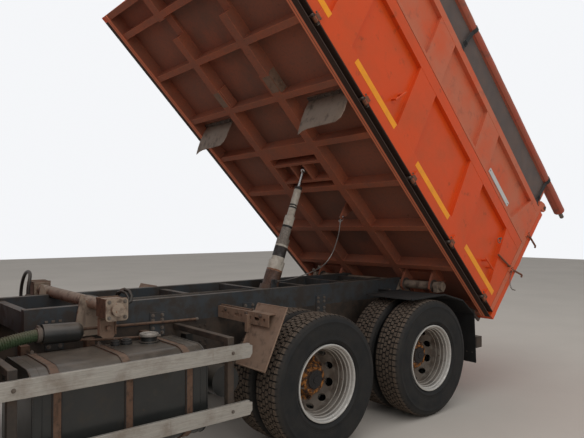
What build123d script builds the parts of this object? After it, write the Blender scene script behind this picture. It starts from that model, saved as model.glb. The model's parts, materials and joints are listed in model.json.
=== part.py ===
from build123d import *
import os
from math import atan2, cos, degrees, hypot, pi, radians, sin, tan

# A three-axle forward-control tipping lorry with its bed raised to the rear.
# Millimetres. Stations run forward from the rearmost axle, widths from the middle plane
# and heights from the ground. ORIGIN_X moves the finished pieces to the middle of the length.
ORIGIN_X = 1555

# Running gear
TYRE_R = 527
TYRE_HALF = 137
BEAD_R = 288
RIM_R = 298
RIM_HALF = 118
DISC_OFFSET = 160
TWIN_HALF = 160
TWIN_MIDDLE = 947
FRONT_WHEEL_Y = 1021
KINGPIN_Y = 850
REAR_AXLE_X = 0
DRIVE_AXLE_X = 1320
FRONT_AXLE_X = 4510
AXLE_Z = TYRE_R
HAND_HOLES = 10
HAND_HOLE_R = 27

# Frame
RAIL_Y = 430
RAIL_FLANGE = 85
RAIL_BOTTOM = 720
RAIL_TOP = 990
RAIL_REAR_X = -850
RAIL_FRONT_X = 5480
PLATE = 8
SUB_TOP = 1180
SUB_REAR_X = -700
SUB_FRONT_X = 3290
SUB_WIDTH = 70
HITCH_ACROSS = 160
HITCH_UP = 100
HITCH_Z = 690
HITCH_HOLE_R = 10.5
HITCH_PLATE = 14
FRONT_TUBE_X = 2850
FRONT_TUBE_Z = 1195
TUBE_R = 43

# Bed, in its own axes: x along the floor from the rear end, z up from the floor's lower edge
TIP_ANGLE = 44.7
PIVOT_X = -555
PIVOT_Z = 1120
PIVOT_ALONG = 498
PIVOT_BELOW = 55
BED_LENGTH = 4330
BED_HALF = 1250
CHANNEL_TOP = 76
FLOOR_UNDER = 125
FLOOR_TOP = 131
BEAM_UNDER = 15
SILL_Y = 400
SILL_WIDTH = 100
BOARD_BOTTOM = 80
BOARD_TOP = 1000
FOOT_RAIL = 165
HEAD_RAIL = 115
BOARD_HINGE_Z = 40
BOARD_HINGE_Y = BED_HALF + 12
EXTENSION_TOP = 1565
EXTENSION_FOOT = 32
EXTENSION_HEAD = 80
PLATE_FRONTS = [234, 1187, 2299, 3411]
PLATE_WIDTH = 310
PLATE_SLOPE = 0.25
POST_LENGTH = 60
POST_TOP = 1610
WALL = 52
GATE_GAP = 5
ROLL_R = 68
ROLL_Y = 1190
ROLL_REAR = (-420, 1988)
ROLL_FRONT = (4270, 1868)
EYE_ALONG = 2083
EYE_UP = 60

# Lifting cylinder, in its own axis from the trunnion
TRUNNION_X = 998
TRUNNION_Z = 980
BARREL_R = 98
BARREL_TOP = 182
BARREL_BOTTOM = -230
EYE_BALL_R = 34

# Cab
CAB_REAR_X = 3750
CAB_FRONT_X = 5650
CAB_FLOOR_Z = 1180
CAB_ROOF_Z = 2920
CAB_HALF = 1245
CAB_WALL = 45
CAB_PIVOT_X = 5600
CAB_PIVOT_Z = 900
DOOR_HINGE_X = 5474
DOOR_HINGE_Y = 1256
BUMPER_X = 5850

# Free hoses and the slack wire rope: x, y, z of each point of their routes
ROPE_R = 5
ROPE = [
    (158, 200, 1812), (164, 200, 1738), (188, 200, 1640), (228, 200, 1543), (284, 200, 1443),
    (356, 198, 1367), (445, 194, 1316), (548, 186, 1280), (662, 174, 1250), (776, 162, 1226),
    (880, 154, 1212), (975, 154, 1212),
]
INTAKE_HOSE_R = 37
INTAKE_HOSE = [
    (3256, 600, 1041), (3400, 600, 1041), (3545, 612, 1035), (3690, 640, 1029), (3830, 662, 1034),
    (3962, 660, 1046), (4078, 628, 1056), (4160, 566, 1062), (4216, 480, 1063), (4240, 382, 1060),
    (4240, 290, 1060),
]
OIL_HOSE_R = 14
OIL_HOSE = [
    (3010, -520, 1165), (3010, -520, 1230), (2994, -534, 1294), (2975, -587, 1338), (2964, -665, 1353),
    (2957, -750, 1347), (2952, -835, 1318), (2950, -905, 1262), (2950, -947, 1190), (2953, -950, 1112),
    (2960, -915, 1048), (2974, -850, 1022), (2990, -775, 1040), (3004, -700, 1078), (3010, -640, 1100),
    (3010, -590, 1100),
]

os.makedirs("parts", exist_ok=True)


def slab(x0, x1, y0, y1, z0, z1):
    """A block given by its limits."""
    return Pos((x0 + x1) / 2, (y0 + y1) / 2, (z0 + z1) / 2) * Box(x1 - x0, y1 - y0, z1 - z0)


def side_prism(points, y0, y1):
    """A side outline of (x, z) points, drawn out from y0 to y1."""
    outline = Polyline(*[(x, y0, z) for x, z in points], close=True)
    return extrude(make_face(outline), amount=y1 - y0, dir=(0, 1, 0))


def cross_prism(points, x0, x1):
    """A cross-section of (y, z) points, drawn out from x0 to x1."""
    outline = Polyline(*[(x0, y, z) for y, z in points], close=True)
    return extrude(make_face(outline), amount=x1 - x0, dir=(1, 0, 0))


def bar(start, end, radius):
    """A round bar between two points."""
    along = Vector(*end) - Vector(*start)
    return Solid.make_cylinder(radius, along.length, Plane(origin=start, z_dir=along))


def turned(profile):
    """A closed (radius, y) profile turned about the y axis."""
    outline = Polyline(*[(r, y, 0) for r, y in profile], close=True)
    return revolve(make_face(outline), Axis.Y)


def other_side(shape):
    """The same piece on the right-hand side."""
    return mirror(shape, about=Plane.XZ)


def pair(*shapes):
    """Pieces with their right-hand twins."""
    return [twin for shape in shapes for twin in (shape, other_side(shape))]


def joined(*pieces):
    """Pieces welded into one."""
    flat = [p for piece in pieces for p in (piece if isinstance(piece, list) else [piece])]
    return Part() + flat


def hose(name, points, radius):
    """A round hose or rope: straight runs joined by arcs as large as the runs allow."""
    radii = []
    for before, corner, after in zip(points, points[1:], points[2:]):
        run_in, run_out = Vector(*corner) - Vector(*before), Vector(*after) - Vector(*corner)
        turn = radians(run_in.get_angle(run_out))
        radii.append(0.45 * min(run_in.length, run_out.length) / tan(turn / 2))
    path = FilletPolyline(*points, radius=radii)
    section = Plane(origin=path @ 0, z_dir=path % 0) * Circle(radius)
    tube = sweep(section, path=path)
    share = tube.volume / (pi * radius**2 * path.length)
    print(name, "length", round(path.length), "smallest bend", round(min(radii)))
    print(name, "volume ratio", round(share, 4))
    return tube


BED_PLACE = (
    Pos(PIVOT_X, 0, PIVOT_Z) * Rot(0, -TIP_ANGLE, 0) * Pos(-PIVOT_ALONG, 0, PIVOT_BELOW)
)


def write(node, *pieces, on_bed=False):
    """Write one node, its pieces standing apart unless they are already one solid."""
    place = Pos(-ORIGIN_X, 0, 0) * (BED_PLACE if on_bed else Pos(0, 0, 0))
    solids = [solid for piece in pieces for solid in piece.solids()]
    shape = solids[0] if len(solids) == 1 else Compound(solids)
    export_step(place * shape, f"parts/{node}.step")


def cross_channel(x, z0, z1, half, width=60):
    """A pressed channel across the frame, open to the rear."""
    return joined(
        slab(x + width / 2 - PLATE, x + width / 2, -half, half, z0, z1),
        slab(x - width / 2, x + width / 2, -half, half, z0, z0 + PLATE),
        slab(x - width / 2, x + width / 2, -half, half, z1 - PLATE, z1),
    )


def frame_rails():
    """Two channel rails with their cross-members, cab pivots, cab rest and underrun bar."""
    web = RAIL_Y - PLATE
    lip = RAIL_Y - RAIL_FLANGE
    section = [
        (RAIL_Y, RAIL_BOTTOM), (RAIL_Y, RAIL_TOP), (lip, RAIL_TOP), (lip, RAIL_TOP - PLATE),
        (web, RAIL_TOP - PLATE), (web, RAIL_BOTTOM + PLATE), (lip, RAIL_BOTTOM + PLATE),
        (lip, RAIL_BOTTOM),
    ]
    tail = [(-900, 1000), (-735, 1000), (-735, RAIL_TOP), (RAIL_REAR_X, 840), (-900, 840)]
    tail_cut = side_prism(tail, 0, 500)
    rails = pair(cross_prism(section, RAIL_REAR_X, RAIL_FRONT_X) - tail_cut)
    stations = [660, 1950, 2700, 3560, 5440]
    members = [cross_channel(x, RAIL_BOTTOM + 30, RAIL_TOP - 30, web) for x in stations]
    members.append(cross_channel(RAIL_REAR_X + 30, 760, 850, web))
    hitch = slab(RAIL_REAR_X, RAIL_REAR_X + HITCH_PLATE, -150, 150, 620, 790)
    gussets = pair(slab(RAIL_REAR_X + HITCH_PLATE, RAIL_REAR_X + 60, 110, 118, 700, 768))
    holes = [
        bar((RAIL_REAR_X - 10, y, z), (RAIL_REAR_X + 30, y, z), HITCH_HOLE_R)
        for y in (-HITCH_ACROSS / 2, HITCH_ACROSS / 2)
        for z in (HITCH_Z - HITCH_UP / 2, HITCH_Z + HITCH_UP / 2)
    ]
    pivot_arm = side_prism(
        [(5400, 740), (5400, 960), (5560, 945), (5640, 900), (5600, 850), (5480, 740)],
        RAIL_Y - 115, RAIL_Y - 88,
    )
    pin = bar((CAB_PIVOT_X, RAIL_Y - 115, CAB_PIVOT_Z), (CAB_PIVOT_X, RAIL_Y - 10, CAB_PIVOT_Z), 18)
    rest_beam = slab(3800, 3860, -560, 560, RAIL_TOP, 1120)
    rest_pads = pair(slab(3790, 3870, 440, 540, 1120, CAB_FLOOR_Z - 1))
    underrun = slab(-905, -805, -1180, 1180, 500, 610)
    legs = pair(slab(-850, -810, RAIL_Y - 60, RAIL_Y - 10, 600, RAIL_BOTTOM + 20))
    whole = joined(rails, members, hitch, gussets, pair(pivot_arm, pin), rest_beam, rest_pads, underrun, legs)
    return whole - holes


def subframe():
    """The tipping frame on the rails, with the cylinder's cradle and its cross-members."""
    tail = [(SUB_REAR_X - 15, RAIL_TOP), (SUB_REAR_X, 1040), (-615, 1140), (-580, SUB_TOP)]
    rail = side_prism(tail + [(SUB_FRONT_X, SUB_TOP), (SUB_FRONT_X, RAIL_TOP)], RAIL_Y - SUB_WIDTH, RAIL_Y)
    tube_bore = bar((PIVOT_X, -RAIL_Y, PIVOT_Z), (PIVOT_X, RAIL_Y, PIVOT_Z), TUBE_R)
    saddle_room = slab(
        FRONT_TUBE_X - TUBE_R, FRONT_TUBE_X + TUBE_R, -RAIL_Y, RAIL_Y, FRONT_TUBE_Z - TUBE_R, SUB_TOP
    )
    inner = RAIL_Y - SUB_WIDTH
    stations = [-400, 120, 1900, 2600, 3250]
    members = [cross_channel(x, RAIL_TOP + 20, SUB_TOP - 20, inner) for x in stations]
    cradle_beams = [slab(x - 30, x + 30, -inner, inner, RAIL_TOP, SUB_TOP - 10) for x in (740, 1256)]
    bearing = slab(770, 1226, 116, 140, 900, 1080) - bar(
        (TRUNNION_X, 100, TRUNNION_Z), (TRUNNION_X, 160, TRUNNION_Z), 37
    )
    brackets = [
        pair(slab(x - 60, x + 60, RAIL_Y, RAIL_Y + 10, RAIL_TOP - 90, RAIL_TOP + 90))
        for x in (-300, 660, 1500, 2350, 3100)
    ]
    rope_ear = side_prism([(945, 1070), (1025, 1070), (1008, 1228), (968, 1228)], 122, 140)
    rope_stop = slab(ROPE[-1][0], ROPE[-1][0] + 24, 136, 172, 1196, 1228)
    valve = slab(2985, 3035, -590, -RAIL_Y + 2, 1075, 1165)
    whole = joined(pair(rail), members, cradle_beams, pair(bearing), *brackets, rope_ear, rope_stop, valve)
    return whole - saddle_room - tube_bore


def cross_tubes():
    """The two tubes that the bed stands on, with boxed clamps on their ends."""
    saddle = [
        (FRONT_TUBE_X - 130, RAIL_TOP - 20), (FRONT_TUBE_X - 92, SUB_TOP - 30),
        (FRONT_TUBE_X - 60, SUB_TOP + 30), (FRONT_TUBE_X, SUB_TOP + 62), (FRONT_TUBE_X + 50, SUB_TOP + 35),
        (FRONT_TUBE_X + 66, SUB_TOP + 78), (FRONT_TUBE_X + 84, SUB_TOP + 74),
        (FRONT_TUBE_X + 96, SUB_TOP - 10), (FRONT_TUBE_X + 130, RAIL_TOP - 20),
    ]
    clamp_box = slab(FRONT_TUBE_X - 62, FRONT_TUBE_X + 62, 700, 860, FRONT_TUBE_Z - 62, FRONT_TUBE_Z + 50)
    clamp_lid = slab(FRONT_TUBE_X - 70, FRONT_TUBE_X + 70, 694, 866, FRONT_TUBE_Z + 50, FRONT_TUBE_Z + 62)
    clamp_rim = slab(FRONT_TUBE_X - 70, FRONT_TUBE_X - 62, 694, 866, FRONT_TUBE_Z - 40, FRONT_TUBE_Z + 50)
    end_plate = slab(FRONT_TUBE_X - 74, FRONT_TUBE_X + 74, 860, 872, FRONT_TUBE_Z - 74, FRONT_TUBE_Z + 70)
    end_plate = fillet(end_plate.edges().filter_by(Axis.Y), 22)
    front = joined(
        bar((FRONT_TUBE_X, -900, FRONT_TUBE_Z), (FRONT_TUBE_X, 900, FRONT_TUBE_Z), TUBE_R),
        pair(side_prism(saddle, RAIL_Y + 10, RAIL_Y + 22), clamp_box, clamp_lid, clamp_rim, end_plate),
    )
    rear_lug = [(-700, 990), (-630, 1090), (-590, 1165), (-520, 1165), (-480, 1090), (-410, 990)]
    rear = joined(
        bar((PIVOT_X, -960, PIVOT_Z), (PIVOT_X, 960, PIVOT_Z), TUBE_R),
        pair(side_prism(rear_lug, RAIL_Y, RAIL_Y + 14)),
        pair(slab(PIVOT_X - 58, PIVOT_X + 58, 880, 930, PIVOT_Z - 58, PIVOT_Z + 48)),
    )
    return front, rear


def tyre(y):
    """A radial tyre in section: bead, bulging sidewall, shoulder and flat tread."""
    half = [(BEAD_R, 96), (345, 130), (430, TYRE_HALF), (510, 121), (TYRE_R, 98)]
    profile = [(r, y - w) for r, w in half] + [(r, y + w) for r, w in reversed(half)]
    return turned(profile)


def wheel_rim(y, facing):
    """A drop-centre rim and its dished disc in one section, with a ring of hand holes.

    The disc bulges towards facing. Columns: radius, distance from the rim's middle.
    """
    tread_side = [
        (RIM_R, -RIM_HALF), (RIM_R, -104), (284, -99), (256, -50), (256, 50), (284, 99), (RIM_R, 104),
        (RIM_R, RIM_HALF),
    ]
    dish = [
        (288, RIM_HALF), (272, 90), (246, 52), (228, 122), (200, DISC_OFFSET), (110, DISC_OFFSET),
        (110, DISC_OFFSET - 14), (192, DISC_OFFSET - 14), (214, 108), (236, 30), (246, -52), (272, -90),
        (288, -RIM_HALF),
    ]
    rim = turned([(r, y + facing * w) for r, w in tread_side + dish])
    for step in range(HAND_HOLES):
        turn = radians(360 / HAND_HOLES * (step + 0.5))
        inner = (190 * cos(turn), y + facing * 94, 190 * sin(turn))
        outer = (246 * cos(turn), y + facing * 136, 246 * sin(turn))
        rim -= bar(inner, outer, HAND_HOLE_R)
    return rim


def twin_wheel():
    """Two rims back to back on one hub, with the drum behind and the axle cap outside."""
    outer_y = TWIN_MIDDLE + TWIN_HALF
    inner_y = TWIN_MIDDLE - TWIN_HALF
    hub_profile = [
        (70, 690), (205, 690), (205, 880), (172, 890), (170, 970), (120, 978), (116, 1130), (92, 1140),
        (92, 1168), (0, 1168), (0, 1060), (70, 1060),
    ]
    rims = joined(wheel_rim(outer_y, -1), wheel_rim(inner_y, 1), turned(hub_profile))
    return rims, [tyre(outer_y), tyre(inner_y)]


def front_wheel():
    """A single wheel with its disc bulging outwards and a brake drum inside."""
    face_y = FRONT_WHEEL_Y + DISC_OFFSET
    hub_profile = [
        (48, 930), (205, 930), (205, 1090), (150, 1105), (150, face_y - 6), (132, face_y + 6),
        (95, face_y + 10), (88, face_y + 46), (0, face_y + 46), (0, 1150), (48, 1150),
    ]
    rim = joined(wheel_rim(FRONT_WHEEL_Y, 1), turned(hub_profile))
    return rim, tyre(FRONT_WHEEL_Y)


def leaf_pack(x, y, lengths, leaf, camber, stack, z):
    """Stacked spring leaves on one bend; stack is 1 upwards from the longest leaf or -1 downwards."""
    leaves = []
    for step, length in enumerate(lengths):
        low = z + stack * step * leaf
        end = low - stack * camber * (length / lengths[0]) ** 2
        half = length / 2
        outline = [
            ThreePointArc((x - half, y, end), (x, y, low), (x + half, y, end)),
            Line((x + half, y, end), (x + half, y, end + leaf + 1)),
            ThreePointArc(
                (x + half, y, end + leaf + 1), (x, y, low + leaf + 1), (x - half, y, end + leaf + 1)
            ),
            Line((x - half, y, end + leaf + 1), (x - half, y, end)),
        ]
        leaves.append(extrude(make_face(outline), amount=45, dir=(0, 1, 0), both=True))
    return joined(leaves)


def front_axle():
    """A dropped forged beam on two leaf springs hung from the rails."""
    beam_line = [
        (-KINGPIN_Y, 520), (-KINGPIN_Y, 600), (-720, 590), (-560, 505), (560, 505), (720, 590),
        (KINGPIN_Y, 600), (KINGPIN_Y, 520), (700, 500), (560, 410), (-560, 410), (-700, 500),
    ]
    beam = cross_prism(beam_line, FRONT_AXLE_X - 42, FRONT_AXLE_X + 42)
    boss = bar((FRONT_AXLE_X, KINGPIN_Y, 490), (FRONT_AXLE_X, KINGPIN_Y, 620), 48)
    pin_hole = bar((FRONT_AXLE_X, KINGPIN_Y, 480), (FRONT_AXLE_X, KINGPIN_Y, 630), 25)
    spring = leaf_pack(FRONT_AXLE_X, 385, [1500, 1300, 1100, 900, 700], 16, 70, -1, 575)
    seat = slab(FRONT_AXLE_X - 90, FRONT_AXLE_X + 90, 335, 435, 495, 515)
    hanger_front = slab(FRONT_AXLE_X + 700, FRONT_AXLE_X + 770, 335, 420, 630, RAIL_BOTTOM)
    hanger_rear = slab(FRONT_AXLE_X - 770, FRONT_AXLE_X - 700, 335, 420, 630, RAIL_BOTTOM)
    whole = joined(beam, pair(boss, spring, seat, hanger_front, hanger_rear))
    return whole - pin_hole - other_side(pin_hole)


def knuckle():
    """The left steering knuckle: yoke and kingpin, spindle, brake plate and steering arm."""
    x, y = FRONT_AXLE_X, KINGPIN_Y
    yoke_top = joined(bar((x, y, 627), (x, y, 672), 50), slab(x - 40, x + 40, y, 925, 627, 672))
    yoke_foot = joined(bar((x, y, 438), (x, y, 483), 50), slab(x - 40, x + 40, y, 925, 438, 483))
    web = slab(x - 60, x + 60, 905, 925, 438, 672)
    kingpin = bar((x, y, 438), (x, y, 690), 20)
    spindle = bar((x, 915, AXLE_Z), (x, 1120, AXLE_Z), 40)
    plate = bar((x, 913, AXLE_Z), (x, 922, AXLE_Z), 196)
    arm = slab(x - 260, x - 30, y - 28, y + 28, 438, 462)
    arm = joined(arm, bar((x - 250, y, 425), (x - 250, y, 462), 32))
    return joined(yoke_top, yoke_foot, web, kingpin, spindle, plate, arm)


def track_rod():
    """The rod that ties both knuckles' arms together."""
    x = FRONT_AXLE_X - 250
    rod = bar((x, -KINGPIN_Y + 30, 395), (x, KINGPIN_Y - 30, 395), 19)
    ends = pair(bar((x, KINGPIN_Y, 372), (x, KINGPIN_Y, 418), 34))
    return joined(rod, ends)


def drive_axle(x, nose):
    """A banjo housing with its tubes, spindles, brake plates and differential nose."""
    bowl = Pos(x, 0, AXLE_Z) * turned([(0, -190), (90, -190), (205, -90), (205, 90), (90, 190), (0, 190)])
    tube = bar((x, 0, AXLE_Z), (x, 650, AXLE_Z), 72)
    spindle = bar((x, 640, AXLE_Z), (x, 1040, AXLE_Z), 62)
    plate = bar((x, 660, AXLE_Z), (x, 676, AXLE_Z), 196)
    nose_cone = Pos(x + nose * 200, 0, AXLE_Z + 60) * Rot(0, nose * 90, 0) * Cone(150, 80, 320)
    pad = slab(x - 70, x + 70, 455, 545, AXLE_Z + 60, 640)
    return joined(bowl, nose_cone, pair(tube, spindle, plate, pad))


def drive_axles():
    """Both driven axles and the shafts between them and the gearbox."""
    between = bar((REAR_AXLE_X + 300, 0, 600), (DRIVE_AXLE_X - 150, 0, 640), 45)
    forward = bar((DRIVE_AXLE_X + 330, 0, 590), (3697, 0, 690), 50)
    return joined(drive_axle(REAR_AXLE_X, 1), drive_axle(DRIVE_AXLE_X, 1), between, forward)


def bogie_springs():
    """Inverted leaf packs that rock on the trunnion between the two driven axles."""
    middle = (REAR_AXLE_X + DRIVE_AXLE_X) / 2
    pack = leaf_pack(middle, 500, [1400, 1280, 1120, 960, 800, 640, 480], 18, 60, 1, 700)
    trunnion = bar((middle, RAIL_Y, 600), (middle, 560, 600), 65)
    tie = slab(middle - 50, middle + 50, -RAIL_Y - 22, RAIL_Y + 22, 465, 515)
    hanger = side_prism(
        [(middle - 170, 800), (middle + 170, 800), (middle + 80, 465), (middle - 80, 465)],
        RAIL_Y, RAIL_Y + 22,
    )
    shoe = slab(middle - 110, middle + 110, 455, 545, 600, 705)
    clamps = [slab(middle + x - 12, middle + x + 12, 448, 552, 690, 840) for x in (-85, 85)]
    return joined(tie, pair(trunnion, pack, hanger, shoe, *clamps))


def engine():
    """The engine and gearbox as one plain mass under the cab tunnel."""
    block = slab(4130, 5300, -290, 290, 700, 1370)
    gearbox = slab(3700, 4130, -210, 210, 590, 985)
    return joined(block, gearbox)


def tank_section(grow=0.0):
    """The rounded box section of the fuel tank, grown outwards by a little for its straps."""
    plane = Plane(origin=(2330, 812, 635), x_dir=(0, 1, 0), z_dir=(1, 0, 0))
    return plane * RectangleRounded(616 + 2 * grow, 590 + 2 * grow, 130)


def fuel_tank():
    """The fuel tank on the left rail, with its filler neck and two plugs on top."""
    body = extrude(tank_section(), amount=1100, dir=(1, 0, 0))
    neck = turned([(0, 920), (66, 920), (66, 938), (54, 942), (54, 966), (60, 970), (60, 984), (0, 990)])
    neck = Pos(2566, 740, 0) * Rot(90, 0, 0) * neck
    plugs = [bar((x, 700, 922), (x, 700, 950), radius) for x, radius in ((2712, 34), (2790, 26))]
    return joined(body, neck, plugs)


def tank_straps():
    """Three steel bands round the tank, each on a bracket from the rail."""
    band = extrude(tank_section(6), amount=55, dir=(1, 0, 0))
    band -= extrude(tank_section(), amount=55, dir=(1, 0, 0))
    bracket = slab(2330, 2385, RAIL_Y, 499, 700, 960)
    return [joined(Pos(x - 2330, 0, 0) * band, Pos(x - 2330, 0, 0) * bracket) for x in (2440, 2850, 3270)]


def side_guards():
    """Two aluminium bars along each flank on three posts from the rail."""
    bars = [slab(2035, 3640, 1196, 1221, z - 100, z) for z in (931, 544)]
    posts = [slab(x, x + 50, 1150, 1196, 440, 935) for x in (2170, 3520)]
    arms = [slab(x, x + 50, RAIL_Y, 1150, 940, 985) for x in (2170, 3520)]
    drops = [slab(x, x + 50, 1150, 1196, 900, 985) for x in (2170, 3520)]
    return pair(joined(bars, posts, arms, drops))


def air_tanks():
    """Brake reservoirs behind the fuel tank, and the intake pipe above its inner edge."""
    tank = bar((2115, 500, 640), (2115, 1010, 640), 110)
    hanger = slab(2085, 2145, RAIL_Y, 505, 600, 900)
    end_x, end_y, end_z = INTAKE_HOSE[0]
    pipe = bar((2975, end_y, end_z - 8), (end_x - 26, end_y, end_z), 64)
    pipe = fillet(pipe.edges().sort_by(Axis.X)[0], 40)
    neck = bar((end_x - 40, end_y, end_z), (end_x, end_y, end_z), 44)
    shelf = slab(3180, 3225, RAIL_Y, end_y, 975, 1000)
    return pair(joined(tank, hanger)) + [joined(pipe, neck, shelf)]


def battery_box():
    """The covered battery box on the right rail."""
    body = slab(2900, 3450, -1090, -560, 480, 900)
    lid = slab(2890, 3460, -1100, -550, 900, 925)
    hanger = slab(2980, 3370, -560, -RAIL_Y, 865, 900)
    return joined(body, lid, hanger)


def silencer():
    """The silencer ahead of the drive wheels on the right, with its pipe from the engine."""
    body = bar((2300, -760, 640), (2800, -760, 640), 170)
    pipe = joined(
        bar((2640, -490, 800), (3700, -490, 800), 45), bar((2690, -700, 720), (2690, -490, 800), 45)
    )
    tail = bar((2380, -760, 480), (2380, -760, 400), 50)
    hanger = slab(2500, 2600, -640, -RAIL_Y, 740, 800)
    return joined(body, pipe, tail, hanger)


def mud_plates():
    """Steel plates leaning in front of the leading drive wheels, on arms from the rail."""
    plate = side_prism([(1912, 703), (1918, 706), (1714, 1137), (1708, 1134)], 850, 1200)
    arm = slab(1760, 1800, RAIL_Y, 850, 1010, 1060)
    foot = slab(1755, 1830, 840, 870, 930, 1060)
    return pair(joined(plate, arm, foot))


def rear_mudguards():
    """Black guards over and behind the rear wheels, bent from flat runs."""
    line = [(260, 1070), (-240, 1078), (-540, 1000), (-736, 850), (-764, 360)]
    back = [(x - 6, z + 6) for x, z in reversed(line)]
    guard = side_prism(line + back, 650, 1200)
    stay = [slab(x, x + 40, RAIL_Y + 15, 660, z, z + 25) for x, z in ((-200, 1056), (-500, 993))]
    return pair(joined(guard, stay))


def lamps():
    """Tail lamps on the underrun bar and headlamps in the front bumper."""
    tail = slab(-925, -905, 820, 1140, 515, 600)
    head = slab(5790, 5852, 820, 1090, 600, 760)
    return pair(tail, head)


def front_bumper():
    """A pressed bumper with swept ends and lamp pockets, on two arms from the rails."""
    outline = [
        (5440, -1240), (5440, 1240), (5640, 1240), (5800, 1120), (BUMPER_X, 900), (BUMPER_X, -900),
        (5800, -1120), (5640, -1240),
    ]
    hollow = [
        (5300, -1200), (5300, 1200), (5625, 1200), (5768, 1095), (5810, 885), (5810, -885),
        (5768, -1095), (5625, -1200),
    ]
    shell = extrude(make_face(Polyline(*[(x, y, 420) for x, y in outline], close=True)), amount=450)
    shell -= extrude(make_face(Polyline(*[(x, y, 400) for x, y in hollow], close=True)), amount=500)
    shell -= slab(5300, 5500, -1000, 1000, 300, 900)
    pockets = pair(slab(5700, 5900, 815, 1095, 595, 765))
    arms = pair(slab(RAIL_FRONT_X - 60, 5815, RAIL_Y - 60, RAIL_Y + 20, 620, 719))
    return joined(shell, arms) - pockets[0] - pockets[1]


def arch(radius, x, z, first, last, y0, y1, thick):
    """A curved guard over a wheel between two angles."""
    ring = bar((x, y0, z), (x, y1, z), radius + thick) - bar((x, y0, z), (x, y1, z), radius)
    reach = 2 * radius
    cut = [(x, z)] + [
        (x + reach * cos(radians(a)), z + reach * sin(radians(a))) for a in (first, (first + last) / 2, last)
    ]
    return ring & side_prism(cut, y0 - 1, y1 + 1)


def front_mudguards():
    """Arches over the steered wheels, each with the cab step box in front of it."""
    guard = arch(635, FRONT_AXLE_X, AXLE_Z, 8, 172, 900, 1235, 8)
    tread = [slab(5165, 5420, 1010, 1235, z, z + 30) for z in (400, 760)]
    cheeks = [slab(x, x + 20, 1010, 1235, 380, 1130) for x in (5150, 5410)]
    back = slab(5150, 5430, 1000, 1012, 380, 1130)
    arms = [slab(x, x + 60, RAIL_Y, 1005, 800, 850) for x in (5180, 5340)]
    stay = slab(3860, 3900, RAIL_Y, 1235, 770, 800)
    link = slab(3868, 3892, 900, 1235, 600, 800)
    return pair(joined(guard, tread, cheeks, back, arms, stay, link))


def cab_block(inset):
    """The cab's outer form shrunk by an inset: side, plan and front outlines crossed."""
    side = [
        (CAB_REAR_X, CAB_FLOOR_Z), (CAB_REAR_X, 2850), (3830, CAB_ROOF_Z), (5260, CAB_ROOF_Z),
        (5385, 2850), (5600, 1900), (CAB_FRONT_X, 1700), (CAB_FRONT_X, CAB_FLOOR_Z),
    ]
    plan = [
        (CAB_REAR_X, -CAB_HALF), (CAB_REAR_X, CAB_HALF), (5480, CAB_HALF), (5610, 1170),
        (CAB_FRONT_X, 1000), (CAB_FRONT_X, -1000), (5610, -1170), (5480, -CAB_HALF),
    ]
    front = [
        (-CAB_HALF, CAB_FLOOR_Z), (-CAB_HALF, 1850), (-1185, 2830), (-1090, CAB_ROOF_Z),
        (1090, CAB_ROOF_Z), (1185, 2830), (CAB_HALF, 1850), (CAB_HALF, CAB_FLOOR_Z),
    ]
    faces = [
        make_face(Polyline(*[(x, 0, z) for x, z in side], close=True)),
        make_face(Polyline(*[(x, y, 0) for x, y in plan], close=True)),
        make_face(Polyline(*[(0, y, z) for y, z in front], close=True)),
    ]
    if inset:
        faces = [offset(face, -inset, kind=Kind.INTERSECTION) for face in faces]
    block = extrude(faces[0], amount=1500, dir=(0, 1, 0), both=True)
    block &= extrude(faces[1], amount=3500, dir=(0, 0, 1))
    return block & extrude(faces[2], amount=6000, dir=(1, 0, 0))


DOOR_OUTLINE = [(4400, 1232), (4400, 2770), (5240, 2770), (5462, 1850), (5462, 1232)]
DOOR_WINDOW = [(4480, 1960), (4480, 2690), (5175, 2690), (5340, 1960)]
SIDE_WINDOW = [(3900, 1960), (3900, 2690), (4250, 2690), (4250, 1960)]


def grown(points, gap):
    """A side outline moved outwards by a gap, as a face."""
    face = make_face(Polyline(*[(x, 0, z) for x, z in points], close=True))
    return offset(face, gap, kind=Kind.INTERSECTION)


def window_prism(points, gap, y0, y1):
    """A prism across the cab wall for a window or a door opening."""
    outline = grown(points, gap or 0.001)
    return Pos(0, y0, 0) * extrude(outline, amount=y1 - y0, dir=(0, 1, 0))


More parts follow.
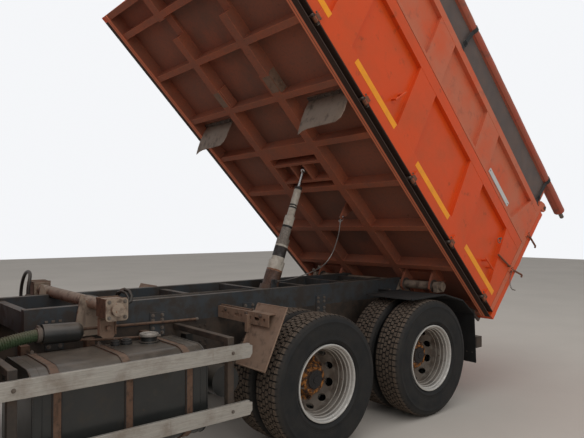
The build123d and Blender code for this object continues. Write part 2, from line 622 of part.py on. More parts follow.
def cab_pieces():
    """The cab's panels, glass and doors, all cut from one outer form."""
    shell = cab_block(0) - cab_block(CAB_WALL)
    glass_layer = cab_block(18) - cab_block(26)
    door_hole = window_prism(DOOR_OUTLINE, 7, 900, 1400)
    windscreen = slab(5200, 5800, -1010, 1010, 1930, 2760)
    rear_window = slab(3700, 3850, -520, 520, 2050, 2620)
    quarter = window_prism(SIDE_WINDOW, 0, 900, 1400)
    tunnel_hole = slab(3700, 5420, -345, 345, 1100, CAB_FLOOR_Z + CAB_WALL)
    tunnel = slab(3795, 5440, -385, 385, CAB_FLOOR_Z, 1470) - slab(3700, 5400, -345, 345, 1100, 1430)

    openings = joined(door_hole, other_side(door_hole), windscreen, rear_window, quarter, other_side(quarter))
    solid_shell = shell - openings
    low, high = CAB_FLOOR_Z + CAB_WALL, 3000
    floor = joined(solid_shell & slab(3700, 5605, -1300, 1300, 1100, low)) - tunnel_hole
    lugs = pair(
        side_prism(
            [(5480, 1180), (5480, 1120), (5560, 880), (5600, 860), (5640, 880), (5630, 960), (5600, 1000),
             (5600, 1180)], 352, 385,
        )
    )
    pivot_room = bar((CAB_PIVOT_X, -450, CAB_PIVOT_Z), (CAB_PIVOT_X, 450, CAB_PIVOT_Z), 20)
    floor = joined(floor, tunnel, lugs) - pivot_room
    ahead = side_prism([(5465, low), (5465, 1850), (5245, 2775), (5700, 2775), (5700, low)], -1300, 1300)
    front = solid_shell & joined(ahead, slab(5605, 5700, -1300, 1300, CAB_FLOOR_Z, low))
    walls = (solid_shell & slab(3700, 5600, -1300, 1300, low, high)) - ahead
    skirt = slab(5605, CAB_FRONT_X, -900, 900, 1000, low)
    hinge_z = (1330, 1700)
    cab_knuckles = [
        pair(joined(
            bar((DOOR_HINGE_X, DOOR_HINGE_Y, z), (DOOR_HINGE_X, DOOR_HINGE_Y, z + 48), 11),
            slab(DOOR_HINGE_X - 4, DOOR_HINGE_X + 30, 1215, DOOR_HINGE_Y + 4, z, z + 48),
        ))
        for z in hinge_z
    ]
    front = joined(front, skirt, *cab_knuckles)
    glass = [
        glass_layer & windscreen, glass_layer & rear_window,
        *pair(glass_layer & window_prism(SIDE_WINDOW, -0.5, 900, 1400)),
    ]

    door = (shell & window_prism(DOOR_OUTLINE, 0, 900, 1400)) - window_prism(DOOR_WINDOW, 0, 900, 1400)
    door_knuckles = [
        joined(
            bar((DOOR_HINGE_X, DOOR_HINGE_Y, z + 50), (DOOR_HINGE_X, DOOR_HINGE_Y, z + 98), 11),
            slab(DOOR_HINGE_X - 60, DOOR_HINGE_X - 16, 1240, DOOR_HINGE_Y + 6, z + 50, z + 98),
            slab(DOOR_HINGE_X - 24, DOOR_HINGE_X, 1249, DOOR_HINGE_Y + 6, z + 50, z + 98),
        )
        for z in hinge_z
    ]
    handle = slab(4460, 4600, 1240, 1272, 1700, 1730)
    door = joined(door, door_knuckles, handle)
    door_glass = glass_layer & window_prism(DOOR_WINDOW, -0.5, 900, 1400)
    return floor, walls, front, glass, door, door_glass


def grille():
    """The slatted air intake on the cab's nose."""
    slats = [slab(CAB_FRONT_X, CAB_FRONT_X + 26, -700, 700, z, z + 34) for z in range(1040, 1640, 66)]
    frame = slab(CAB_FRONT_X, CAB_FRONT_X + 30, -740, 740, 1010, 1670)
    frame -= slab(CAB_FRONT_X - 5, CAB_FRONT_X + 40, -700, 700, 1040, 1640)
    uprights = [slab(CAB_FRONT_X, CAB_FRONT_X + 20, y - 8, y + 8, 1020, 1660) for y in (-350, 0, 350)]
    return joined(frame, slats, uprights)


def dashboard():
    """The dash across the cab with its cowl, steering column and wheel."""
    dash = side_prism([(5330, 1560), (5300, 1800), (5400, 1860), (5560, 1850), (5560, 1560)], -1050, 1050)
    column = bar((5380, 560, 1640), (5120, 560, 1820), 32)
    direction = Vector(5120 - 5380, 0, 1820 - 1640)
    wheel_plane = Plane(origin=(5120, 560, 1820), z_dir=direction)
    ring = wheel_plane * Torus(225, 16)
    spokes = wheel_plane * joined(Box(430, 36, 14), Box(36, 430, 14))
    return joined(dash, column, ring, spokes)


def seats():
    """Two seats on pedestals, cushion and back in one each."""
    profile = [
        (4260, 1500), (4180, 2180), (4270, 2200), (4360, 1660), (4800, 1690), (4830, 1600), (4800, 1500),
    ]
    seat = side_prism(profile, 460, 960)
    pedestal = slab(4380, 4700, 520, 900, CAB_FLOOR_Z + CAB_WALL, 1500)
    return pair(joined(seat, pedestal))


def mirrors():
    """A mirror head on two arms at each front corner of the cab."""
    head = slab(5500, 5560, 1330, 1500, 1980, 2420)
    arms = [bar((5525, 1170, z0), (5530, 1400, z1), 12) for z0, z1 in ((1800, 2000), (2200, 2400))]
    return pair(joined(head, arms) - cab_block(0))


BEAM_STATIONS = [700, 1270, 1850, 2400, 2950, 3530, 4060]
BOARD_HINGES = [240, 1030, 1840, 2700, 3470]
ROPE_LUG = 1495

# Levers on each drop side: station and height of one end, then the run to the other end
BOARD_LEVERS = [(100, 612, 240, -60), (310, 370, 190, -10), (2443, 523, 39, -163)]


def bed_floor():
    """The floor plate on its sills and cross-members, with edge channels and tipping ears."""
    plate = slab(0, BED_LENGTH, -1190, 1190, FLOOR_UNDER, FLOOR_TOP)
    beams = [slab(x - 30, x + 30, -1150, 1150, BEAM_UNDER, FLOOR_UNDER) for x in BEAM_STATIONS]
    ends = [
        slab(x, x + 60, -1190, 1190, z0, FLOOR_UNDER) for x, z0 in ((0, 0), (BED_LENGTH - 60, BEAM_UNDER))
    ]
    sill = slab(0, BED_LENGTH, SILL_Y - SILL_WIDTH / 2, SILL_Y + SILL_WIDTH / 2, BEAM_UNDER, FLOOR_UNDER)
    edge = slab(0, BED_LENGTH, 1150, 1190, 0, FLOOR_TOP)
    lips = [slab(0, BED_LENGTH - 60, 1185, BED_HALF, z, z + 8) for z in (0, CHANNEL_TOP - 8)]
    hinge_ears = [
        slab(
            x + offset_x, x + offset_x + 12, 1188, BOARD_HINGE_Y + 14, BOARD_HINGE_Z - 16, BOARD_HINGE_Z + 16
        )
        for x in BOARD_HINGES for offset_x in (-40, 28)
    ]
    pins = [
        bar((x - 40, BOARD_HINGE_Y, BOARD_HINGE_Z), (x + 40, BOARD_HINGE_Y, BOARD_HINGE_Z), 7)
        for x in BOARD_HINGES
    ]
    ear = side_prism(
        [(PIVOT_ALONG - 130, FLOOR_UNDER), (PIVOT_ALONG - 62, -PIVOT_BELOW - 20),
         (PIVOT_ALONG - 30, -PIVOT_BELOW - 66), (PIVOT_ALONG + 30, -PIVOT_BELOW - 66),
         (PIVOT_ALONG + 62, -PIVOT_BELOW - 20), (PIVOT_ALONG + 130, FLOOR_UNDER)], 0, 22,
    )
    ears = [Pos(0, y, 0) * ear for y in (462, 820)]
    pivot_beam = slab(PIVOT_ALONG - 60, PIVOT_ALONG + 60, 450, 850, 70, FLOOR_UNDER)
    frame = joined(plate, beams, ends, pair(sill, edge, *lips, *hinge_ears, *pins, *ears, pivot_beam))
    tube_along = FRONT_TUBE_X - PIVOT_X + PIVOT_ALONG
    tube_room = slab(tube_along - 85, tube_along + 112, -600, 600, -50, 100)
    bore = bar((PIVOT_ALONG, -1000, -PIVOT_BELOW), (PIVOT_ALONG, 1000, -PIVOT_BELOW), TUBE_R + 3)
    socket_walls = [
        slab(EYE_ALONG + x, EYE_ALONG + x + 30, -350, 350, BEAM_UNDER, FLOOR_UNDER) for x in (-130, 100)
    ]
    cheeks = pair(slab(EYE_ALONG - 130, EYE_ALONG + 130, 90, 110, BEAM_UNDER, FLOOR_UNDER))
    socket_beam = slab(2290, 2440, -350, 350, BEAM_UNDER, FLOOR_UNDER - 1)
    stiffeners = pair(slab(2985, 3200, 322, 352, 22, 112))
    rope_lug = side_prism(
        [(ROPE_LUG - 60, 128), (ROPE_LUG - 22, -40), (ROPE_LUG, -60), (ROPE_LUG + 22, -40),
         (ROPE_LUG + 60, 128)],
        ROPE[0][1] - 8, ROPE[0][1] + 8,
    )
    return joined(frame, socket_walls, cheeks, socket_beam, stiffeners, rope_lug) - tube_room - bore


def bed_front_wall():
    """The headboard: plate, top rail, upright ribs on its outer face and the cover's arch."""
    plate = slab(BED_LENGTH - 60, BED_LENGTH - 50, -1200, 1200, FLOOR_TOP, POST_TOP)
    ribs = [
        slab(BED_LENGTH - 50, BED_LENGTH, y - 40, y + 40, FLOOR_TOP, POST_TOP)
        for y in (-800, -400, 0, 400, 800)
    ]
    posts = pair(slab(BED_LENGTH - 60, BED_LENGTH, 1190, BED_HALF, 0, POST_TOP))
    top = slab(BED_LENGTH - 60, BED_LENGTH, -BED_HALF, BED_HALF, POST_TOP, POST_TOP + 60)
    shoulder = ROLL_FRONT[1] - 94
    crown = cross_prism(
        [(-1195, POST_TOP), (-1195, shoulder), (-1120, shoulder + 60), (-500, shoulder + 110),
         (500, shoulder + 110), (1120, shoulder + 60), (1195, shoulder), (1195, POST_TOP)],
        BED_LENGTH - 60, BED_LENGTH - 52,
    )
    return joined(plate, ribs, posts, top, crown)


def board_panel(x0, x1, z0, z1, foot, head, ribs):
    """A pressed side panel with a foot rail, a head rail and slanted rib plates between them."""
    outer = BED_HALF
    inner = outer - WALL
    sheet = slab(x0, x1, inner, inner + 6, z0, z1)
    rails = [slab(x0, x1, inner, outer, z0, z0 + foot), slab(x0, x1, inner, outer, z1 - head, z1)]
    plates = [side_prism(points, inner, outer - 2) for points in ribs]
    return joined(sheet, rails, plates)


def slanted_plates(x0, z0, z1):
    """Outlines of the pressed plates that lean forward across a panel, from z0 to z1."""
    outlines = []
    for front in PLATE_FRONTS:
        low = front + PLATE_SLOPE * (z0 - 250)
        high = front + PLATE_SLOPE * (z1 - 250)
        if low - PLATE_WIDTH < x0:
            outlines.append([(low, z0), (high, z1), (x0, z1), (x0, z0)])
        else:
            outlines.append(
                [(low, z0), (high, z1), (high - PLATE_WIDTH, z1), (low - PLATE_WIDTH, z0)]
            )
    return outlines


def lever(start, end, reach, radius):
    """A round handle along the side of the bed, held out on a foot near each end.

    start and end are (x, z); reach is how far it stands out of the side.
    """
    outside = BED_HALF + reach
    feet = []
    for share in (0.2, 0.8):
        x = start[0] + share * (end[0] - start[0])
        z = start[1] + share * (end[1] - start[1])
        feet.append(slab(x - 9, x + 9, BED_HALF - WALL + 3, outside, z - 9, z + 9))
    return joined(bar((start[0], outside, start[1]), (end[0], outside, end[1]), radius), feet)


def bed_extensions():
    """The fixed upper boards, the rear posts with their latches, and the rear bow of the cover."""
    foot, head = BOARD_TOP + 8 + EXTENSION_FOOT, EXTENSION_TOP - EXTENSION_HEAD
    plates = slanted_plates(POST_LENGTH, foot - 2, head + 2)
    plates[0] = [(POST_LENGTH, foot - 2), (400, foot - 2), (228, 1490), (POST_LENGTH, 1490)]
    board = board_panel(
        POST_LENGTH, BED_LENGTH - 60, BOARD_TOP + 8, EXTENSION_TOP, EXTENSION_FOOT, EXTENSION_HEAD, plates
    )
    post = slab(0, POST_LENGTH, 1192, BED_HALF, CHANNEL_TOP, POST_TOP)
    hinge_arm = side_prism(
        [(60, 1500), (60, 1660), (-10, 1690), (-70, 1690), (-85, 1650), (-70, 1612), (0, 1590), (0, 1500)],
        1220, BED_HALF,
    )
    hinge_hole = bar((-45, 1200, 1650), (-45, 1260, 1650), 14)
    pads = [slab(6, 54, BED_HALF - 4, BED_HALF + 8, z - 40, z + 40) for z in (620, 1145)]
    latches = [
        bar((40, BED_HALF + 16, z), (-150, BED_HALF + 18, z + rise), 9) for z, rise in ((620, 95), (1145, 12))
    ]
    knobs = [slab(16, 44, BED_HALF, BED_HALF + 24, z - 14, z + 16) for z in (620, 1145)]
    side = joined(board, post, hinge_arm, pads, latches, knobs) - hinge_hole
    shoulder = ROLL_REAR[1] - 106
    arch_line = [(1195, shoulder), (1120, shoulder + 60), (500, shoulder + 110), (0, shoulder + 116)]
    outer = [(1195, POST_TOP - 40)] + arch_line
    inner = [(1155, POST_TOP - 40)] + [(y - 40 if y else 0, z - 24) for y, z in arch_line]
    half_bow = cross_prism(outer + inner[::-1], 10, 50)
    return [joined(side, other_side(side), half_bow, other_side(half_bow))]


def side_board():
    """The left drop side: pressed panel with slanted plates, on five hinges along its foot."""
    x0, x1 = POST_LENGTH + 6, BED_LENGTH - 66
    plates = slanted_plates(x0, BOARD_BOTTOM + FOOT_RAIL - 2, BOARD_TOP - HEAD_RAIL + 2)
    panel = board_panel(x0, x1, BOARD_BOTTOM, BOARD_TOP, FOOT_RAIL, HEAD_RAIL, plates)
    handles = [lever((x, z), (x + dx, z + dz), 16, 8) for x, z, dx, dz in BOARD_LEVERS]
    knuckles = []
    for x in BOARD_HINGES:
        eye = bar((x - 22, BOARD_HINGE_Y, BOARD_HINGE_Z), (x + 22, BOARD_HINGE_Y, BOARD_HINGE_Z), 14)
        strap = slab(x - 22, x + 22, BOARD_HINGE_Y - 6, BOARD_HINGE_Y + 12, BOARD_HINGE_Z, 150)
        foot = slab(x - 22, x + 22, BED_HALF - 10, BOARD_HINGE_Y, 90, 145)
        bore = bar((x - 30, BOARD_HINGE_Y, BOARD_HINGE_Z), (x + 30, BOARD_HINGE_Y, BOARD_HINGE_Z), 7.5)
        knuckles.append(joined(eye, strap, foot) - bore)
    return joined(panel, knuckles, handles)


def tailgate():
    """The tailgate, hung from two pins at the top corners of the posts."""
    x1 = -GATE_GAP
    sheet = slab(x1 - 8, x1, -BED_HALF, BED_HALF, 20, 1560)
    rails = [slab(x1 - 60, x1, -BED_HALF, BED_HALF, z, z + 80) for z in (20, 760, 1480)]
    ribs = [slab(x1 - 55, x1, y - 45, y + 45, 20, 1560) for y in (-1205, -620, 0, 620, 1205)]
    hanger = side_prism(
        [(-65, 1500), (-65, 1600), (-80, 1650), (-45, 1685), (-10, 1650), (-20, 1600), (-20, 1500)],
        1180, 1212,
    )
    pin = bar((-45, 1180, 1650), (-45, BED_HALF, 1650), 11)
    return joined(sheet, rails, ribs, pair(hanger, pin))


def tarp():
    """The cover rolled on its tube along the left top edge, and its strip down to the board."""
    (rear_x, rear_z), (front_x, front_z) = ROLL_REAR, ROLL_FRONT
    fall = (front_z - rear_z) / (front_x - rear_x)
    roll = bar((rear_x, ROLL_Y, rear_z), (front_x, ROLL_Y, front_z), ROLL_R)
    tube = bar((rear_x - 110, ROLL_Y, rear_z - 110 * fall), (rear_x + 20, ROLL_Y, rear_z + 20 * fall), 24)
    strip = [
        (POST_LENGTH, EXTENSION_TOP), (front_x - 2, EXTENSION_TOP), (front_x - 2, front_z - 30),
        (POST_LENGTH, rear_z + fall * (POST_LENGTH - rear_x) - 30),
    ]
    canvas = side_prism(strip, 1198, 1214)
    return joined(roll, tube, canvas)


def bed_flaps():
    """Two bent rubber guards under the bed in front of the drive wheels, one shape on both sides."""
    top, middle, foot = (2792, FLOOR_UNDER), (2752, -10), (2662, -195)
    thick = 7
    outline = [
        ThreePointArc(*[(x, 0, z) for x, z in (top, middle, foot)]),
        Line((foot[0], 0, foot[1]), (foot[0] - thick, 0, foot[1])),
        ThreePointArc(*[(x - thick, 0, z) for x, z in (foot, middle, top)]),
        Line((top[0] - thick, 0, top[1]), (top[0], 0, top[1])),
    ]
    sheet = Pos(0, 560, 0) * extrude(make_face(outline), amount=560, dir=(0, 1, 0))
    cut = cross_prism(
        [(592, 130), (1120, 130), (1120, -62), (1096, -118), (1040, -146), (700, -156), (636, -168),
         (586, -192)],
        2600, 2820,
    )
    flange = slab(2786, 2832, 600, 1112, FLOOR_UNDER - 8, FLOOR_UNDER)
    flap = joined(sheet & cut, flange)
    return [flap, Pos(0, -1738, 0) * flap]


def at_eye(shape):
    """Turn a piece drawn up the z axis from the trunnion onto the cylinder's line."""
    turn = radians(TIP_ANGLE)
    along, up = EYE_ALONG - PIVOT_ALONG, EYE_UP + PIVOT_BELOW
    eye_x = PIVOT_X + along * cos(turn) - up * sin(turn)
    eye_z = PIVOT_Z + along * sin(turn) + up * cos(turn)
    lean = degrees(atan2(eye_x - TRUNNION_X, eye_z - TRUNNION_Z))
    return Pos(TRUNNION_X, 0, TRUNNION_Z) * Rot(0, lean, 0) * shape


def eye_distance():
    """Distance from trunnion to eye with the bed raised as it stands."""
    turn = radians(TIP_ANGLE)
    along, up = EYE_ALONG - PIVOT_ALONG, EYE_UP + PIVOT_BELOW
    return hypot(
        PIVOT_X + along * cos(turn) - up * sin(turn) - TRUNNION_X,
        PIVOT_Z + along * sin(turn) + up * cos(turn) - TRUNNION_Z,
    )


# Cylinder stages from outside in: name, outer radius, lower end, upper end
STAGES = [
    ("cylinder_stage_1", 80, 72, 438),
    ("cylinder_stage_2", 64, 338, 673),
    ("cylinder_stage_3", 50, 573, 913),
    ("cylinder_stage_4", 38, 813, 1235),
]


def tube_stage(radius, bore, low, high):
    """A hollow stage between two distances along the cylinder's line."""
    middle = Pos(0, 0, (low + high) / 2)
    return middle * Cylinder(radius, high - low) - middle * Cylinder(bore, high - low + 40)


def cylinder():
    """The barrel on its trunnion, four stages and the rod that carries the ball."""
    barrel = Pos(0, 0, (BARREL_TOP + BARREL_BOTTOM) / 2) * Cylinder(BARREL_R, BARREL_TOP - BARREL_BOTTOM)
    barrel -= Pos(0, 0, (BARREL_TOP + BARREL_BOTTOM) / 2 + 15) * Cylinder(82, BARREL_TOP - BARREL_BOTTOM)
    pins = pair(bar((0, BARREL_R - 8, 0), (0, 160, 0), 34))
    write("cylinder_barrel", at_eye(joined(barrel, pins)))
    bores = [radius + 2 for _, radius, _, _ in STAGES[1:]] + [20]
    for (node, radius, low, high), bore in zip(STAGES, bores):
        write(node, at_eye(tube_stage(radius, bore, low, high)))
    length = eye_distance()
    rod = Pos(0, 0, (1115 + length) / 2) * Cylinder(18, length - 1115)
    rod = joined(rod, Pos(0, 0, length) * Sphere(EYE_BALL_R))
    write("cylinder_rod", at_eye(rod))


def write_all():
    """Write every node."""
    write("frame_rails", frame_rails())
    write("subframe", subframe())
    write("cross_tubes", *cross_tubes())
    write("front_axle", front_axle())
    write("drive_axles", drive_axles())
    write("bogie_springs", bogie_springs())
    write("engine", engine())
    write("fuel_tank", fuel_tank())
    write("tank_straps", *tank_straps())
    write("side_guards", *side_guards())
    write("air_tanks", *air_tanks())
    write("battery_box", battery_box())
    write("silencer", silencer())
    write("mud_plates", *mud_plates())
    write("mudguards", *rear_mudguards(), *front_mudguards())
    write("front_bumper", front_bumper())
    write("lamps", *lamps())
    write("wire_rope", hose("wire_rope", ROPE, ROPE_R))
    write("intake_hose", hose("intake_hose", INTAKE_HOSE, INTAKE_HOSE_R))
    write("oil_hose", hose("oil_hose", OIL_HOSE, OIL_HOSE_R))

    write("knuckle_left", knuckle())
    write("knuckle_right", other_side(knuckle()))
    write("track_rod", track_rod())
    rim, rubber = front_wheel()
    rims, tyres = twin_wheel()
    for side, turn in (("left", lambda s: s), ("right", other_side)):
        at_front = Pos(FRONT_AXLE_X, 0, AXLE_Z)
        write(f"front_rim_{side}", at_front * turn(rim))
        write(f"front_tyre_{side}", at_front * turn(rubber))
        for name, x in (("drive", DRIVE_AXLE_X), ("rear", REAR_AXLE_X)):
            write(f"{name}_rims_{side}", Pos(x, 0, AXLE_Z) * turn(rims))
            write(f"{name}_tyres_{side}", *[Pos(x, 0, AXLE_Z) * turn(t) for t in tyres])

    floor, walls, front, glass, door, door_glass = cab_pieces()
    write("cab_floor", floor)
    write("cab_shell", walls)
    write("cab_front", joined(front, grille()))
    write("cab_glass", *glass)
    write("dashboard", dashboard())
    write("seats", *seats())
    write("mirrors", *mirrors())
    for side, turn in (("left", lambda s: s), ("right", other_side)):
        write(f"door_{side}", turn(door))
        write(f"door_glass_{side}", turn(door_glass))

    write("bed_floor", bed_floor(), on_bed=True)
    write("bed_front_wall", bed_front_wall(), on_bed=True)
    write("bed_extensions", *bed_extensions(), on_bed=True)
    write("side_board_left", side_board(), on_bed=True)
    write("side_board_right", other_side(side_board()), on_bed=True)
    write("tailgate", tailgate(), on_bed=True)
    write("tarp", tarp(), on_bed=True)
    write("bed_flaps", *bed_flaps(), on_bed=True)
    cylinder()


write_all()
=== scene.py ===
"""Dresses a three-axle tipping lorry: finishes, tread, hoses, rope, bolts, cloth and the studio.

Metres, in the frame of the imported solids. Stations run forward from the rearmost axle, and the bed has
its own axes: along its floor from the rear end, across, and up from the floor's lower edge.
"""

import json
import logging
import math
from dataclasses import dataclass
from enum import Enum

import bmesh
import bpy
from mathutils import Matrix, Vector, noise


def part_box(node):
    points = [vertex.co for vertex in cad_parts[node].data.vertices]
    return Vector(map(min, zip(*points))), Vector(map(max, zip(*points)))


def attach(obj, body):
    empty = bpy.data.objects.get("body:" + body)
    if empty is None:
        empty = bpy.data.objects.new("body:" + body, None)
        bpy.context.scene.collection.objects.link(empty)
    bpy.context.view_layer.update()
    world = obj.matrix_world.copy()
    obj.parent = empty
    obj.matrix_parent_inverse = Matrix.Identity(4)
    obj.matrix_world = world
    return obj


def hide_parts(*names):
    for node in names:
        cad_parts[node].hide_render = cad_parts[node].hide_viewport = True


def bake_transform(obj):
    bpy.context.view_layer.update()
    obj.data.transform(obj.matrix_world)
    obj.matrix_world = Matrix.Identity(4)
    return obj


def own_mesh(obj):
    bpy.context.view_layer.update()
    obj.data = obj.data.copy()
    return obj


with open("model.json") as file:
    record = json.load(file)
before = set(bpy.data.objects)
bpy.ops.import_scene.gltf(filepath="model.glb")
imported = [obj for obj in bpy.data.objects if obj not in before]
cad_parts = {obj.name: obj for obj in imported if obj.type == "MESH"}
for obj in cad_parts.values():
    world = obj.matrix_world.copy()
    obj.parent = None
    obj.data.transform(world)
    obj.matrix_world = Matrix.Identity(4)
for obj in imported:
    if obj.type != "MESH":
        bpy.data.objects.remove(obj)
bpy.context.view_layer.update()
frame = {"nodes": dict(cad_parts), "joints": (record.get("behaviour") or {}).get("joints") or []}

LOG = logging.getLogger("lorry")
Colour = tuple[float, float, float]
Point = tuple[float, float, float]
Outline = list[tuple[float, float]]
Owner = tuple[str, str]

# Places read from the frame
JOINTS = {joint["name"]: joint for joint in frame["joints"]}


def middle(node: str) -> Vector:
    """The middle of a node's box."""
    low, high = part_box(node)
    return (low + high) / 2


AXLE_X = middle("rear_tyres_left").x
PIVOT = Vector(JOINTS["bed_tip"]["pos_m"])
TRUNNION = Vector(JOINTS["cylinder_swing"]["pos_m"])
CYLINDER_LINE = Vector(JOINTS["cylinder_rod_slide"]["axis"])

# Driving sizes of the bed
TIP = math.radians(44.7)
PIVOT_ALONG = 0.498
PIVOT_BELOW = 0.055
BED_TURN = math.degrees(TIP)
BED_PLACE = Matrix.Translation(PIVOT) @ Matrix.Rotation(-TIP, 4, "Y")
BED_PLACE @= Matrix.Translation((-PIVOT_ALONG, 0, PIVOT_BELOW))


def at(x: float, y: float, z: float) -> Vector:
    """A point by its station from the rearmost axle."""
    return Vector((AXLE_X + x, y, z))


class Side(Enum):
    """The two flanks."""

    LEFT = 1
    RIGHT = -1

    @property
    def word(self) -> str:
        """The word that node and body names end with."""
        return self.name.lower()


class Tree:
    """Adds nodes to a node tree and links them by their sockets' names or places."""

    def __init__(self, tree: bpy.types.NodeTree) -> None:
        """Start with an empty tree.

        Args:
            tree: The shader or geometry tree to fill.
        """
        self.tree = tree
        tree.nodes.clear()

    def node(self, kind: str, options: dict | None = None, **inputs: object) -> bpy.types.Node:
        """Add one node.

        Args:
            kind: The node's type.
            options: Its own properties.
            inputs: Values or sockets by name, with _ for a space, or as _0, _1 by place.

        Returns:
            The new node.
        """
        made = self.tree.nodes.new(kind)
        for key, value in (options or {}).items():
            setattr(made, key, value)
        for key, value in inputs.items():
            place = int(key[1:]) if key[1:].isdigit() else key.replace("_", " ")
            self.feed(made.inputs[place], value)
        return made

    def feed(self, socket: bpy.types.NodeSocket, value: object) -> None:
        """Link or set one input socket."""
        if isinstance(value, bpy.types.Node):
            value = value.outputs[0]
        if isinstance(value, bpy.types.NodeSocket):
            self.tree.links.new(value, socket)
        elif socket.type == "RGBA":
            socket.default_value = (*value[:3], 1)
        else:
            socket.default_value = value

    def sum(self, operation: str, *values: object) -> bpy.types.NodeSocket:
        """A Math node's result."""
        inputs = {f"_{i}": value for i, value in enumerate(values)}
        return self.node("ShaderNodeMath", {"operation": operation}, **inputs).outputs[0]

    def times(self, *values: object) -> bpy.types.NodeSocket:
        """The product of two values."""
        return self.sum("MULTIPLY", *values)

    def most(self, *values: object) -> bpy.types.NodeSocket:
        """The greater of two values."""
        return self.sum("MAXIMUM", *values)

    def mixed(self, mask: object, first: object, second: object, way: str = "MIX") -> bpy.types.NodeSocket:
        """Two colours mixed by a mask."""
        options = {"data_type": "RGBA", "blend_type": way}
        return self.node("ShaderNodeMix", options, _0=mask, _6=first, _7=second).outputs[2]

    def ramp(self, value: object, low: float, high: float, start: float = 0.0,
             end: float = 1.0) -> bpy.types.NodeSocket:
        """A smooth rise from start to end while the value goes from low to high."""
        options = {"interpolation_type": "SMOOTHSTEP"}
        return self.node("ShaderNodeMapRange", options, _0=value, _1=low, _2=high, _3=start,
                         _4=end).outputs[0]


@dataclass(frozen=True)
class Group:
    """A shader node group with named inputs and outputs."""

    name: str
    inputs: tuple[tuple[str, str, float], ...]
    outputs: tuple[tuple[str, str], ...]

    def open(self) -> tuple[Tree, bpy.types.Node, bpy.types.Node]:
        """Make the group's tree with its sockets.

        Returns:
            The tree and its input and output nodes.
        """
        group = bpy.data.node_groups.new(self.name, "ShaderNodeTree")
        for name, kind, default in self.inputs:
            socket = group.interface.new_socket(name=name, in_out="INPUT", socket_type=f"NodeSocket{kind}")
            if kind == "Float":
                socket.default_value = default
        for name, kind in self.outputs:
            group.interface.new_socket(name=name, in_out="OUTPUT", socket_type=f"NodeSocket{kind}")
        tree = Tree(group)
        return tree, tree.node("NodeGroupInput"), tree.node("NodeGroupOutput")


